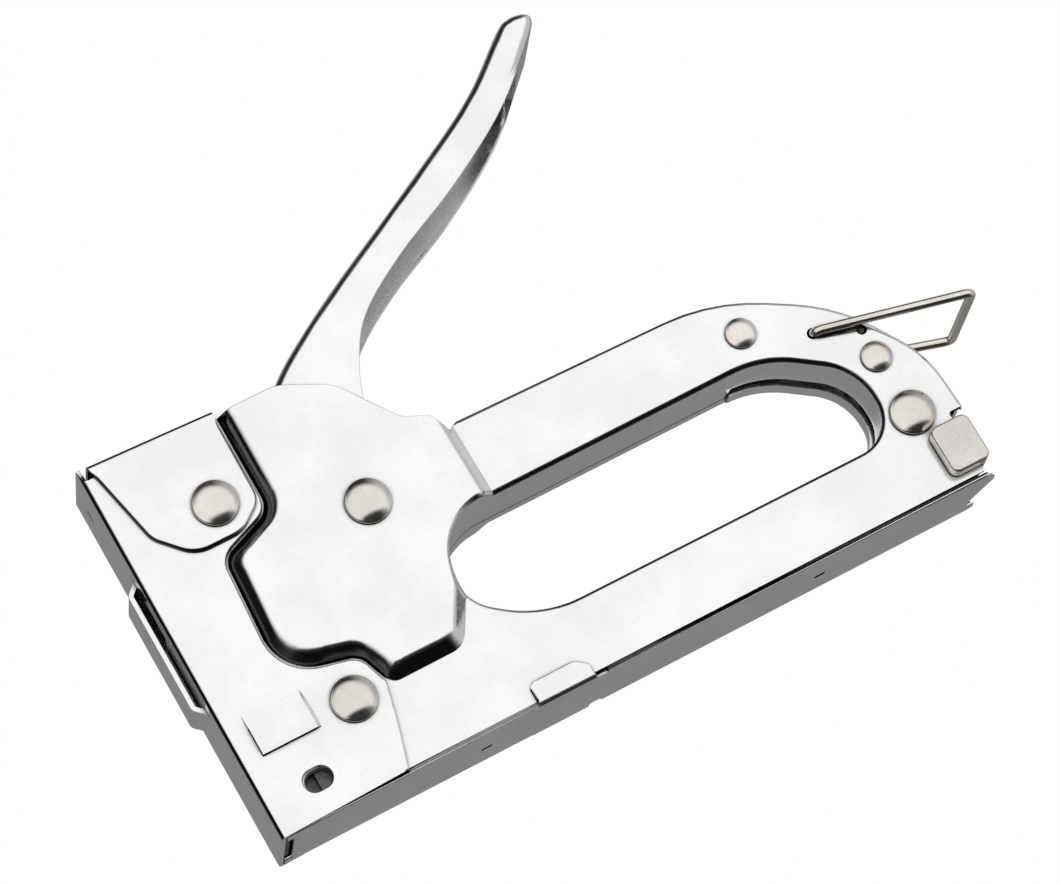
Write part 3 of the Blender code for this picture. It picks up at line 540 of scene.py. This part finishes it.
pocketFoot, pocketTop = pocketRing(0), pocketRing(1)
slopeRun = np.linspace(0, shell["slope"], 200)
slopeTilt = ease(slopeRun / shell["slopeFoot"]) * np.clip((slopeRun[-1] - slopeRun) / shell["slopeTop"], 0, 1)
slopeRise = np.cumsum(np.tan(radians(50) * slopeTilt))
slopeRise = (slopeRise - slopeRise[0]) / (slopeRise[-1] - slopeRise[0])


def shellDepth(places):
    # how far out of the middle plane the shell's face is
    past = np.clip(signedGap(places, pocketFoot), 0, None)
    short = np.clip(-signedGap(places, pocketTop), 0, None)
    rise = np.interp(shell["slope"] * past / np.maximum(past + short, 1e-6), slopeRun, slopeRise)
    depth = gun["halfWidth"] + gun["bulgeRise"] * rise
    depth -= rollOver(distanceTo(places, loopEdge), shell["bend"])
    depth -= rollOver(distanceTo(places, foldedRim, closed=False), shell["bend"])
    cut = distanceTo(places, plainRim, closed=False)
    return depth - np.clip(gun["edgeBreak"] - cut, 0, None)


def rimParts():
    # the outline's folded stretch, over the heel and the grip, and its plain cut stretch
    start, end = (min(range(len(shellEdge)), key=lambda i: hypot(shellEdge[i][0] - x, shellEdge[i][1] - z))
                  for x, z in shell["rimEnds"])
    count = len(shellEdge)
    folded = [shellEdge[(start + i) % count] for i in range((end - start) % count + 1)]
    plain = [shellEdge[(end + i) % count] for i in range((start - end) % count + 1)]
    return folded, plain


foldedRim, plainRim = rimParts()


def sideShell(name, side, seam, heelSeam):
    bend = shell["bend"]
    turns = rollSteps(bend, 12, 26, 40, 54, 68, 80, 90)
    lines = [(shellEdge, True), (loopEdge, True)]
    lines += [(roundCorners(insetOutline(shell["outline"], t)), True)
              for t in [gun["edgeBreak"]] + turns + [bend + 0.5]]
    lines += [(roundCorners(insetOutline(shell["loop"], -t), 4), True) for t in turns + [bend + 0.5]]
    lines += [(pocketRing(i / 20), True) for i in [-2, 0, 1, 2, 3, 4, 6, 8, 10, 12, 14, 16, 18, 20, 22]]
    holes = [ringPoints(*bailHinge, shell["bailHole"]),
             ringPoints(*rivetPlace("stop_pin"), shell["stopHole"]), slotPoints(*shell["window"])]
    lines += [(hole, True) for hole in holes]

    def lift(places):
        return np.column_stack([places[:, 0], side * shellDepth(places), places[:, 1]])

    def rimFold(flat, solid):
        onRim = distanceTo(flat, foldedRim, closed=False).max() < onLine
        onLoop = distanceTo(flat, loopEdge).max() < onLine
        if not (onRim or onLoop):
            return None
        ends = []
        for (x, z), point in zip(flat, solid):
            heel = onLoop and x > tail(shell["linerFront"])
            ends.append((x, heelSeam if heel else seam, z))
        return ends

    obj = sheet(name, lines, onSheet(shellEdge, [loopEdge] + holes), lift, [rimFold])
    if side > 0:
        obj.data.flip_normals()
    thicken(obj, gun["shellSheet"])
    return place(obj, "casing", "pressed", "plated_steel",
                 "left_side_shell" if side < 0 else "right_side_shell")


for shellName, side, seam, heelSeam in (
        ("leftSideShell", -1, shell["seam"] - gun["lay"], shell["heelFlange"]),
        ("rightSideShell", 1, shell["seam"] + gun["lay"], gun["halfWidth"] - shell["linerRim"])):
    made = sideShell(shellName, side, seam, heelSeam)
    print(shellName, len(made.data.polygons), "faces")


# ---------- folded nose ----------

noseFold = {
    "bend": 1.3,
    "flap": [
        (nose(0), 0.2, 0), (nose(27.9), 0.9, 0.6), (nose(30.7), 10.4, 3), (nose(33.0), 20.0, 6),
        (nose(29.0), 30.0, 2), (nose(31.0), 62.0, 1), (nose(28.0), 81.3, 0.5), (nose(0), 81.3, 0)],
    "foot": 0.2, "flapTop": 81.3, "plateTop": 84.3,
    "shoulder": (0.9, 0.3, 81.6),              # top corner: in from the bend, out from the flat, height
    "strap": (5.5, 5.9, 29.3, 60.6, 2.3),      # half width, slit's outer side, ends, rise
    "strapRamp": 3.0,
    "slit": (0.7, 1.4, 76.9, 79.3),
    "pad": (4.5, 17.3, 16.2, 25.3, 1.1),       # raised pad: front, rear, foot, top, rise
    "padGap": 0.12, "padCut": 3.0,             # the cut round it, and how far below its top that ends
    "padRamp": 4.5, "padSide": 0.9, "padLip": 1.2,     # it rises over these from its top, rear and foot
    "window": (nose(11.6), 7.4, 6.4, 5.0),
    "edgeRoll": 0.4,
}


def noseShell():
    look = noseFold
    bend = look["bend"]
    flatHalf = noseOut - bend
    turned = flatHalf + bend * pi / 2             # where a flap starts on the flat

    def across(x):
        return turned + (x - nose(0)) - bend

    half = [(across(x), z) for x, z in roundCorners(look["flap"]) if x > nose(bend) + 0.01]
    inwards, outwards, shoulder = look["shoulder"]
    right = ([(0, look["foot"]), (turned, look["foot"])] + half
             + [(turned, look["flapTop"]), (turned - inwards, shoulder),
                (flatHalf + outwards, look["plateTop"]), (0, look["plateTop"])])
    right = split(right, 0.8, closed=False)
    outline = right + [(-s, z) for s, z in reversed(right[1:-1])]
    inner, outer, low, high, rise = look["strap"]
    slits = [[(k * inner, low), (k * outer, low), (k * outer, high), (k * inner, high)] for k in (-1, 1)]
    holes = slits + [[(look["slit"][i], look["slit"][j]) for i, j in ((0, 2), (1, 2), (1, 3), (0, 3))]]
    front, rear, foot, top, padRise = look["pad"]
    gap, ramp, sideRamp, lip = (look[key] for key in ("padGap", "padRamp", "padSide", "padLip"))
    for k in (-1, 1):
        f, r = k * across(nose(front)), k * across(nose(rear))
        holes.append([(f, foot), (r, foot), (r, foot + gap), (f + k * gap, foot + gap),
                      (f + k * gap, top - look["padCut"]), (f, top - look["padCut"])])
        x, z, length, height = look["window"]
        holes.append([(k * across(a), b) for a, b in slotPoints(x, z, length, height)])
    roll = look["edgeRoll"]

    def pocketEdge(share):
        ring = roundCorners(insetOutline(shell["pocket"], -gun["run"] - roll * share))
        return [(across(x), z) for x, z in ring if x > nose(bend)]

    around = pocketEdge(0)
    lines = [(outline, True)] + [(hole, True) for hole in holes]
    for share in (0, 0.1, 0.4, 1):
        ring = pocketEdge(share)
        lines += [(ring, True), ([(-s, z) for s, z in ring], True)]
    for s in foldPlaces(flatHalf, bend, 7, (-0.25, 1.25)):
        lines += [([(s, -1), (s, 90)], False), ([(-s, -1), (-s, 90)], False)]
    for i in range(-1, 9):
        step = look["strapRamp"] * i / 7
        lines += [([(-inner, z), (inner, z)], False) for z in (low + step, high - step)]
    for k in (-1, 1):
        f, r = across(nose(front)) + gap, across(nose(rear))
        for i in range(10):
            down, s, up = top - ramp * i / 9, k * (r - sideRamp * i / 9), foot + gap + lip * i / 9
            lines += [([(k * f, down), (k * r, down)], False), ([(s, foot + gap), (s, top)], False),
                      ([(k * f, up), (k * r, up)], False)]
    lines += [(shiftedLine(outline, step), True) for step in rollSteps(roll, 20, 42, 66, 90)]
    pocketRoom = [[(k * s, z) for s, z in around] for k in (-1, 1)]

    def lift(places):
        s, z = places[:, 0], places[:, 1]
        size, k = np.abs(s), np.where(s < 0, -1.0, 1.0)
        y, x = foldOver(size, flatHalf, bend)
        strapUp = ease(np.minimum(z - low, high - z) / look["strapRamp"]) * rise * (size <= inner + 0.01)
        f, r = across(nose(front)) + gap, across(nose(rear))
        onPad = (size > f - 0.01) & (size < r + 0.01) & (z > foot + gap - 0.01) & (z < top + 0.01)
        padUp = padRise * np.clip((top - z) / ramp, 0, 1) ** 0.8 * ease((r - size) / sideRamp) * onPad
        padUp *= 1 - 0.25 * ease((foot + lip - z) / lip)
        folded = np.column_stack([size, z])           # the sheared edges are rounded over
        y -= rollOver(np.minimum(distanceTo(folded, half, closed=False), distanceTo(folded, around)), roll)
        return np.column_stack([nose(x) - strapUp, k * (y + padUp), z])

    obj = sheet("noseShell", lines, onSheet(outline, holes + pocketRoom), lift)
    obj.data.flip_normals()
    return place(thicken(obj, gun["noseSheet"]), "casing", "pressed", "plated_steel", "nose_shell")


def topCap():
    look = {
        "bend": 1.4, "bendRoom": 1.8,
        "front": nose(2.0), "rear": nose(28.9),
        "slope": 1.1, "slopeRun": 27.2,       # its top falls this much over this length
        "rim": [(nose(2.0), 83.9, 0.3), (nose(6.2), 64.6, 6), (nose(12.5), 57.8, 7), (nose(22.8), 57.8, 6),
                (nose(28.6), 62.2, 4.5), (nose(28.9), 82.8, 0.3)],
        "lipEnd": nose(35.6), "lipHalf": 7.5, "lipCut": 0.5,
        "edgeRoll": 0.95,         # the flaps' sheared edges are rounded over this far
    }
    bend = look["bend"]
    flatHalf = capOut - bend
    turned = flatHalf + bend * pi / 2

    def topAt(x):
        return gun["height"] - look["slope"] * np.clip((x - look["front"]) / look["slopeRun"], 0, 1)

    side = [(x, turned + topAt(x) - bend - z) for x, z in roundCorners(look["rim"])
            if z < gun["height"] - look["bendRoom"]]
    frontX, rearX = look["front"], look["rear"]
    lipEnd, lipHalf, cut = look["lipEnd"], look["lipHalf"], look["lipCut"]
    right = ([(lipEnd, 0), (lipEnd, lipHalf - cut), (lipEnd - cut, lipHalf), (rearX, lipHalf),
              (rearX, flatHalf), (rearX, turned)]
             + side[::-1] + [(frontX + 0.3, turned), (frontX, flatHalf), (frontX, 0)])
    right = split(right, 0.8, closed=False)
    outline = right + [(x, -s) for x, s in reversed(right[1:-1])]
    lines = [(outline, True)]
    for s in foldPlaces(flatHalf, bend, 7, (-0.25, 1.25)):
        lines += [([(nose(-5), s), (nose(45), s)], False), ([(nose(-5), -s), (nose(45), -s)], False)]
    rolled = [p for p in outline if p[1] > turned - 0.01]
    roll = look["edgeRoll"]
    lines += [(shiftedLine(outline, step), True) for step in rollSteps(roll, 15, 32, 50, 70, 90)]

    def lift(places):
        x, s = places[:, 0], places[:, 1]
        size, k = np.abs(s), np.where(s < 0, -1.0, 1.0)
        y, drop = foldOver(size, flatHalf, bend)
        mirrored = np.column_stack([x, size])
        y -= rollOver(distanceTo(mirrored, rolled, closed=False), roll) * ease((size - turned) / 2)
        return np.column_stack([x, k * y, topAt(x) - drop])

    obj = sheet("topCap", lines, onSheet(outline), lift)
    return place(thicken(obj, gun["noseSheet"]), "casing", "pressed", "plated_steel", "top_cap")


noseShell()
topCap()
print("nose and cap folded")


# ---------- squeeze lever ----------

lever = {
    "half": 10.6,
    "sheet": 1.2,
    "bend": 2.7,
    "webEnd": 74.0,           # the web between the cheeks ends here, inside the casing
    "wrapStart": 119.5,
    "pivotHole": 2.3,
    "rear": [(55.5, 58), (56.3, 69.5), (60.0, 78.9), (66.0, 87.0), (78.0, 94.8), (94.7, 103.0),
             (111.7, 113.5), (125.8, 126.3)],
    "tip": [(127.2, 128.1), (127.3, 129.6), (125.6, 130.7), (122.6, 130.8)],
    "front": [(119.2, 129.1), (105.8, 118.5), (84.3, 106.5), (57.8, 92.3), (41.9, 81.4), (38.2, 72.0),
              (37.9, 60.0)],
    "boss": (46.7, 51.6, 8.6, 170, 370),
}


def squeezeLever():
    bend = lever["bend"]
    rear = smoothLine(lever["rear"], 6)
    front = smoothLine([lever["rear"][-1]] + lever["tip"] + lever["front"], 7)[1:]
    boss = arcPoints(*lever["boss"], 30)
    outline = [(nose(x), z) for x, z in rear + front + boss]
    wrap = [p for p in rear if p[1] > lever["wrapStart"]]        # the web turns back round the tip
    web = [(nose(x), z) for x, z in wrap + [p for p in front if p[1] > lever["webEnd"]]]
    rest = [p for p in front if p[1] <= lever["webEnd"]] + boss + [p for p in rear if p not in wrap]
    rest = [(nose(x), z) for x, z in rest]
    insets = [gun["edgeBreak"]] + rollSteps(bend, 12, 26, 40, 54, 68, 80) + [bend, bend + 0.5]
    lines = [(outline, True)] + [(shiftedLine(outline, inset), True) for inset in insets]
    hole = ringPoints(*rivetPlace("rivet_lever_pivot"), lever["pivotHole"])
    lines.append((hole, True))

    def lift(places):
        depth = lever["half"] - rollOver(distanceTo(places, web, closed=False), bend)
        depth -= np.clip(gun["edgeBreak"] - distanceTo(places, rest, closed=False), 0, None)
        return np.column_stack([places[:, 0], -depth, places[:, 1]])

    def webFold(flat, solid):
        if distanceTo(flat, web, closed=False).max() > onLine:
            return None
        return [(x, 0, z) for x, z in flat]

    obj = sheet("squeezeLever", lines, onSheet(outline, [hole]), lift, [webFold])
    thicken(obj, lever["sheet"], mirrorAcross="Y")
    return place(obj, "squeeze_lever", "plating", "plated_steel", "lever")


squeezeLever()
print("lever pressed")


# ---------- rivets, pins ----------

def turnedPiece(name, x, z, profile, segments=64):
    # a disc drawn out along Y ring by ring: profile is (radius, y) from the first face to the last
    radius, y = profile[0]
    bpy.ops.object.select_all(action="DESELECT")
    bpy.ops.mesh.primitive_circle_add(vertices=segments, radius=radius * mm, fill_type="TRIFAN",
                                      location=(x * mm, y * mm, z * mm), rotation=(pi / 2, 0, 0))
    obj = bpy.context.object
    obj.name = name
    bpy.ops.object.transform_apply(location=True, rotation=True, scale=True)
    bpy.ops.object.mode_set(mode="EDIT")
    bpy.ops.mesh.select_all(action="SELECT")
    for (r0, y0), (r1, y1) in zip(profile, profile[1:]):
        bpy.ops.mesh.extrude_region_move(TRANSFORM_OT_translate={"value": (0, (y1 - y0) * mm, 0)})
        if r1 != r0:
            bpy.ops.transform.resize(value=(r1 / r0, 1, r1 / r0), center_override=(x * mm, y1 * mm, z * mm))
    bpy.ops.mesh.select_all(action="SELECT")
    bpy.ops.mesh.normals_make_consistent(inside=False)
    bpy.ops.object.mode_set(mode="OBJECT")
    return obj


rivets = {
    # node: (head radius, dome height, seat), in millimetres
    "rivet_top": (4.7, 2.6, capOut), "rivet_lever_pivot": (4.7, 2.6, bulgeOut),
    "rivet_nose": (4.7, 2.6, noseOut), "rivet_grip": (3.2, 1.9, gun["halfWidth"]),
    "rivet_heel_upper": (3.2, 1.9, gun["halfWidth"]), "rivet_heel_lower": (4.7, 2.6, gun["halfWidth"]),
}
rivetShape = {
    "tilt": 36,               # degrees the crown has turned where its rounded rim starts
    "share": 0.93,            # of the head's radius, to that place
    "soft": 0.07, "softTall": 1.6,
    "edge": (47, 58, 69, 80, 90), "sink": 0.1, "shank": 2.0, "lift": 0.15, "rim": 0.15, "rimCut": 0.12,
}


def domedRivet(node, head, dome, seat):
    x, z = rivetPlace(node)
    look = rivetShape
    tilt, share, soft = radians(look["tilt"]), look["share"], look["soft"] * head
    ball = share * head / sin(tilt)               # the crown's sphere, up to where its rim turns down
    crown = [(ball * sin(tilt * t), ball * (cos(tilt * t) - cos(tilt)))
             for t in [0.015] + [i / 12 for i in range(1, 13)]]
    edge = [(share * head + soft * (sin(a) - sin(tilt)) / (1 - sin(tilt)),
             soft * look["softTall"] * (cos(a) - cos(tilt))) for a in map(radians, look["edge"])]
    top = seat + dome - look["sink"]
    half = [(r, top - crown[0][1] + h) for r, h in crown + edge]
    under = seat + look["lift"]
    half += [(head, under + look["rim"]), (head - look["rimCut"], under), (look["shank"], under)]
    profile = half + [(r, -y) for r, y in reversed(half)]
    obj = turnedPiece("".join(w.title() if i else w for i, w in enumerate(node.split("_"))), x, z, profile)
    shadeByAngle(obj, 40)
    return place(obj, "casing", "nickel", "nickel", node)


for node, sizes in rivets.items():
    domedRivet(node, *sizes)
print("rivets set")


# ---------- sole, liner, magazine, clip, bail ----------

sole = {
    "sheet": 1.0,
    "edgeRoll": 0.45,
    "rear": [(tail(1.7), 9.0, 0.5), (tail(0.1), 8.4, 0.3), (tail(0.1), 6.6, 0.3), (tail(1.9), 6.2, 0.3),
             (tail(1.9), 3.2, 1), (tail(-2.6), -5.0, 1.6), (tail(-0.6), -9.0, 1.4)],
    "front": [(nose(1.2), -9.0, 0), (nose(1.2), -6.4, 0), (nose(2.7), -6.4, 0), (nose(2.7), 6.4, 0),
              (nose(1.2), 6.4, 0), (nose(1.2), 9.0, 0)],
    "notch": (69.3, 71.9, 7.7),
    "tab": [(56.5, 0.2), (68.9, 0.2), (68.9, 3.2), (66.4, 5.0), (57.3, 5.0), (56.5, 4.2)],
    "tabOut": 10.0, "tabSheet": 0.8, "tabBend": 1.1, "tabRoot": 8.2, "tabLift": 0.02, "tabEdge": 0.16,
    "marks": (45.3, 120.8), "markSize": (2.6, 1.3),
}


def basePlate():
    near, far, reach = sole["notch"]
    side = [(nose(far), 9.0, 0), (nose(far), reach, 0.4), (nose(near), reach, 0.4), (nose(near), 9.0, 0)]
    low = [(x, -y, r) for x, y, r in reversed(side)]
    corners = sole["rear"] + low + sole["front"] + side[::-1]
    outline = roundCorners(corners)
    holes = [slotPoints(nose(x), 0, *sole["markSize"]) for x in sole["marks"]]
    roll = sole["edgeRoll"]
    lines = [(outline, True)] + [(hole, True) for hole in holes]
    lines += [(roundCorners(insetOutline(corners, step)), True)
              for step in rollSteps(roll, 20, 42, 66, 90) + [roll + 0.3]]

    def lift(places):
        return np.column_stack([places[:, 0], places[:, 1], rollOver(distanceTo(places, outline), roll)])

    plate = sheet("basePlate", lines, onSheet(outline, holes), lift)
    plate.data.flip_normals()
    thicken(plate, sole["sheet"])
    pieces = [plate]
    bend, edge = sole["tabBend"], sole["tabEdge"]
    flat = sole["tabOut"] - bend
    turned = flat + bend * pi / 2
    shape = [(nose(x), turned + z - bend) for x, z in sole["tab"]]
    shape = [(x, sole["tabRoot"]) for x, s in shape[:2]] + shape[2:]
    free = shape[1:] + shape[:1]                  # its cut edge, all but the root
    tabLines = [(shape, True), (shiftedLine(split(shape, 0.6), edge), True)]
    tabLines += [([(nose(50), s), (nose(75), s)], False) for s in foldPlaces(flat, bend, 6)]
    for k in (-1, 1):
        def liftTab(places):
            x, s = places[:, 0], places[:, 1]
            y, z = foldOver(s, flat, bend)
            y -= np.clip(edge - distanceTo(places, free, closed=False), 0, None) * (s > turned)
            return np.column_stack([x, k * y, z + sole["tabLift"]])

        tab = sheet("tab", tabLines, onSheet(shape), liftTab)
        if k > 0:
            tab.data.flip_normals()
        thicken(tab, sole["tabSheet"])
        pieces.append(tab)
    bpy.ops.object.select_all(action="DESELECT")
    for piece in pieces:
        piece.select_set(True)
    bpy.context.view_layer.objects.active = plate
    bpy.ops.object.join()
    return place(plate, "casing", "plating", "plated_steel", "base_plate")


def heelLiner():
    # the plate inside the right shell's heel and the rim that lines the end of the loop
    look = {
        "front": tail(33.5), "floor": 15.4,
        "inset": 1.6, "gap": 0.7,             # inside the shell's outline, and inside its loop
        "bend": 1.2, "face": 7.7, "back": 3.0, "sheet": 0.8,
    }
    front, floor, gap, bend = (look[key] for key in ("front", "floor", "gap", "bend"))
    outer = roundCorners(insetOutline(shell["outline"], look["inset"]))
    rim = split(roundCorners(insetOutline(shell["loop"], gap), 4), 1.0)
    lines = [(outer, True), (rim, True), ([(front, 0), (front, 70)], False),
             ([(front, floor), (tail(-6), floor)], False)]
    lines += [(roundCorners(insetOutline(shell["loop"], gap - step), 4), True)
              for step in rollSteps(bend, 20, 40, 60, 80, 90)]

    def keep(centres):
        return onSheet(outer, [rim])(centres) & (centres[:, 0] > front) & (centres[:, 1] > floor)

    def lift(places):
        depth = look["face"] - rollOver(distanceTo(places, rim), bend)
        return np.column_stack([places[:, 0], depth, places[:, 1]])

    def rimFold(flat, solid):
        if distanceTo(flat, rim).max() > onLine:
            return None
        return [(x, look["back"], z) for x, z in flat]

    obj = sheet("heelLiner", lines, keep, lift, [rimFold])
    obj.data.flip_normals()
    return place(thicken(obj, look["sheet"]), "casing", "plating", "plated_steel", "heel_stiffener")


def magazineTrack():
    look = {
        "front": nose(3.6), "rear": tail(1.4), "half": 7.7, "top": 12.5, "floor": 1.2, "bend": 1.0,
        "sheet": 0.8, "window": (nose(12.1), 7.2, 6.0, 4.6),
    }
    front, rear, floor, bend = (look[key] for key in ("front", "rear", "floor", "bend"))
    flatHalf = look["half"] - bend
    turned = flatHalf + bend * pi / 2
    reach = turned + look["top"] - floor - bend
    outline = [(front, -reach), (rear, -reach), (rear, reach), (front, reach)]
    x, z, length, height = look["window"]
    window = slotPoints(x, turned + z - floor - bend, length, height)
    holes = [window, [(x, -s) for x, s in window]]
    lines = [(outline, True)] + [(hole, True) for hole in holes]
    for s in foldPlaces(flatHalf, bend, 6):
        lines += [([(front - 1, s), (rear + 1, s)], False), ([(front - 1, -s), (rear + 1, -s)], False)]

    def lift(places):
        x, s = places[:, 0], places[:, 1]
        y, rise = foldOver(np.abs(s), flatHalf, bend)
        return np.column_stack([x, np.where(s < 0, -1.0, 1.0) * y, floor + rise])

    obj = sheet("magazineTrack", lines, onSheet(outline, holes), lift)
    obj.data.flip_normals()
    return place(thicken(obj, look["sheet"]), "casing", "hard", "hard_steel", "magazine_channel")


def cubeBetween(name, low, high):
    bpy.ops.object.select_all(action="DESELECT")
    middle = [(a + b) / 2 * mm for a, b in zip(low, high)]
    bpy.ops.mesh.primitive_cube_add(size=1, location=middle, scale=[(b - a) * mm for a, b in zip(low, high)])
    obj = bpy.context.object
    obj.name = name
    bpy.ops.object.transform_apply(location=True, rotation=True, scale=True)
    return obj


def bevelEdges(obj, chosen, width, segments):
    # chosen says, from an edge's two ends in millimetres, whether it is rounded
    pickOnly(obj)
    bpy.ops.object.mode_set(mode="EDIT")
    bpy.ops.mesh.select_mode(type="EDGE")
    bpy.ops.mesh.select_all(action="DESELECT")
    bpy.ops.object.mode_set(mode="OBJECT")
    for edge in obj.data.edges:
        a, b = (obj.data.vertices[i].co / mm for i in edge.vertices)
        edge.select = bool(chosen(a, b))
    bpy.ops.object.mode_set(mode="EDIT")
    bpy.ops.mesh.bevel(offset=width * mm, segments=segments, profile=0.5, affect="EDGES")
    bpy.ops.object.mode_set(mode="OBJECT")


def cutAway(obj, tool):
    modifier = obj.modifiers.new("cut", "BOOLEAN")
    modifier.operation, modifier.object, modifier.solver = "DIFFERENCE", tool, "EXACT"
    applyAll(obj)
    bpy.data.objects.remove(tool)


clip = {"front": tail(6.7), "web": tail(-0.3), "rear": tail(-1.9), "low": 2.6, "high": 13.1, "half": 12.2,
        "corner": 1.7, "edge": 0.6, "wall": 1.0, "clear": 9.3}


def rearClip():
    front, web, rear, low, high, half, corner, edge, wall, clear = clip.values()
    obj = cubeBetween("rearClip", (front, -half, low), (rear, half, high))
    bevelEdges(obj, lambda a, b: abs(a.y - b.y) > 1, corner, 8)
    bevelEdges(obj, lambda a, b: abs(abs(a.y) - half) < 0.01 and abs(a.y - b.y) < 0.01, edge, 5)
    cutAway(obj, cubeBetween("casingRoom", (front - 1, -clear, 0), (web, clear, 20)))
    inner = half - wall
    cutAway(obj, cubeBetween("earRoom", (front + wall, -inner, low + wall), (web, inner, high - wall)))
    shadeByAngle(obj, 35)
    return place(obj, "rail", "clip", "nickel", "rear_clip")


bail = {"wire": 0.95, "length": 32.8, "angle": -14.7, "splay": 2.6, "bend": 1.9, "tuck": 6.1}


def wireBail():
    look = bail
    angle = radians(look["angle"])
    x, z = bailHinge
    knee = gun["halfWidth"] + gun["run"] + look["wire"]
    half = [(x, look["tuck"], z), (x, knee, z),
            (x + look["length"] * cos(angle), knee + look["splay"], z + look["length"] * sin(angle))]
    corners = [Vector((x, -y, z)) for x, y, z in half] + [Vector(p) for p in half[::-1]]
    points = [corners[0]]
    for before, here, after in zip(corners, corners[1:], corners[2:]):
        first = here + (before - here).normalized() * look["bend"]
        last = here + (after - here).normalized() * look["bend"]
        points += [first * (1 - t)**2 + here * 2 * t * (1 - t) + last * t**2
                   for t in [i / 8 for i in range(9)]]
    points.append(corners[-1])
    return roundWire("wireBail", points, look["wire"], "bail", "nickel", "nickel", "bail")


def roundWire(name, points, radius, body, material, slot, node):
    # a wire through the points, in millimetres, with its ends closed
    curve = bpy.data.curves.new(name, "CURVE")
    curve.dimensions = "3D"
    curve.bevel_depth, curve.bevel_resolution, curve.use_fill_caps = radius * mm, 5, True
    line = curve.splines.new("POLY")
    line.points.add(len(points) - 1)
    for knot, point in zip(line.points, points):
        knot.co = (*[c * mm for c in point], 1)
    obj = bpy.data.objects.new(name, curve)
    bpy.context.scene.collection.objects.link(obj)
    pickOnly(obj)
    bpy.ops.object.convert(target="MESH")
    obj = bpy.context.object
    bpy.ops.object.mode_set(mode="EDIT")
    bpy.ops.mesh.select_all(action="SELECT")
    bpy.ops.mesh.remove_doubles(threshold=0.001 * mm)
    bpy.ops.mesh.normals_make_consistent(inside=False)
    bpy.ops.object.mode_set(mode="OBJECT")
    shadeByAngle(obj, 50)
    return place(obj, body, material, slot, node)


basePlate()
heelLiner()
magazineTrack()
rearClip()
wireBail()
print("sole, liner, magazine, clip and bail made")


# ---------- studio ----------

camera = bpy.data.cameras.new("camera")
camera.lens, camera.sensor_width = 161.116, 36.0
camera.clip_start, camera.clip_end = 0.01, 20.0
eye = bpy.data.objects.new("camera", camera)
eye.location = (-0.22402, -0.87573, -0.20642)
eye.rotation_euler = [radians(a) for a in (108.322, 29.45, -5.388)]
bpy.context.scene.collection.objects.link(eye)
bpy.context.scene.camera = eye
bpy.context.scene.view_settings.view_transform = "Standard"

studio = {
    "white": 1.04,
    "frontEdge": (-0.55, -0.26),      # the white front wall ends between these depths
    "rearEdge": (0.28, 0.66),         # and the grey rear wall starts between these
    "ring": 0.025,                    # the dark gap between the walls
    "ringRight": 0.55,                # it is lighter on the right
    "rear": (0.24, 0.42),             # grey wall, low and high
    "lowEdge": (-0.56, -0.40),        # the dark table below the front wall
    "low": 0.03, "lowRight": 0.35,
    "right": (0.30, 0.85), "rearRise": (0.25, 0.85),      # where the right side and the wall's top are full
}


def studioLight():
    world = bpy.data.worlds.new("studio")
    bpy.context.scene.world = world
    world.use_nodes = True
    tree = world.node_tree
    back = tree.nodes["Background"]
    back.inputs["Color"].default_value = (1, 1, 1, 1)
    look = Wire(tree, tree.nodes.new("ShaderNodeTexCoord"), "Generated")
    look = look.node("ShaderNodeVectorMath", {"operation": "NORMALIZE"}, {0: look})
    parts = look.node("ShaderNodeSeparateXYZ", None, {0: look})
    x, y, z = parts, parts.out("Y"), parts.out("Z")
    rear = y.step(*studio["rearEdge"])
    right = x.step(*studio["right"])
    ring = studio["ring"] + right * (studio["ringRight"] - studio["ring"])
    low = studio["low"] + right * (studio["lowRight"] - studio["low"])
    wall = studio["rear"][0] + z.step(*studio["rearRise"]) * (studio["rear"][1] - studio["rear"][0])
    table = 1 - z.step(*studio["lowEdge"])
    front = studio["white"] + table * (low - studio["white"])
    light = front + y.step(*studio["frontEdge"]) * (ring - front)
    light = light + rear * (wall - light)
    seen = Wire(tree, tree.nodes.new("ShaderNodeLightPath"), "Is Camera Ray")
    light = light + seen * (1.0 - light)
    tree.links.new(light.socket, back.inputs["Strength"])


def paleFloor():
    bpy.ops.object.select_all(action="DESELECT")
    bpy.ops.mesh.primitive_plane_add(size=6, location=(0, 0, 0))
    floor = bpy.context.object
    floor.name = "floor"
    material, shader, place = newMaterial("paleFloor")
    tone = noise(place, 40, 2.0).step(0.2, 0.8).blend((0.86, 0.86, 0.86), (0.9, 0.9, 0.9))
    feed(place, shader, Base_Color=tone)
    shader.inputs["Roughness"].default_value = 0.9
    tree = material.node_tree
    side = Wire(tree, tree.nodes.new("ShaderNodeNewGeometry"), "Backfacing")
    clear = Wire(tree, tree.nodes.new("ShaderNodeBsdfTransparent"))
    mix = Wire(tree, tree.nodes.new("ShaderNodeMixShader"))
    tree.links.new(side.socket, mix.made.inputs[0])
    tree.links.new(shader.outputs[0], mix.made.inputs[1])
    tree.links.new(clear.socket, mix.made.inputs[2])
    tree.links.new(mix.socket, tree.nodes["Material Output"].inputs["Surface"])
    floor.data.materials.append(material)
    floor.visible_diffuse = floor.visible_glossy = floor.visible_transmission = floor.visible_shadow = False


studioLight()
paleFloor()

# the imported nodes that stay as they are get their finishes
kept = {
    "hard": ["nose_guide", "spacer_nose", "spacer_grip", "spacer_heel_upper", "spacer_heel_lower",
             "stop_pin", "lifter", "lever_pin", "hammer", "hammer_pin", "striker_blade", "spring_seat",
             "staple_rail", "pusher", "pusher_rod"],
    "spring": ["main_spring", "lever_spring", "pusher_spring"],
    "rubber": ["bumper"],
}
for material, names in kept.items():
    for name in names:
        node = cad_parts[name]
        node.data.materials.clear()
        node.data.materials.append(finish[material])
print("studio lit")
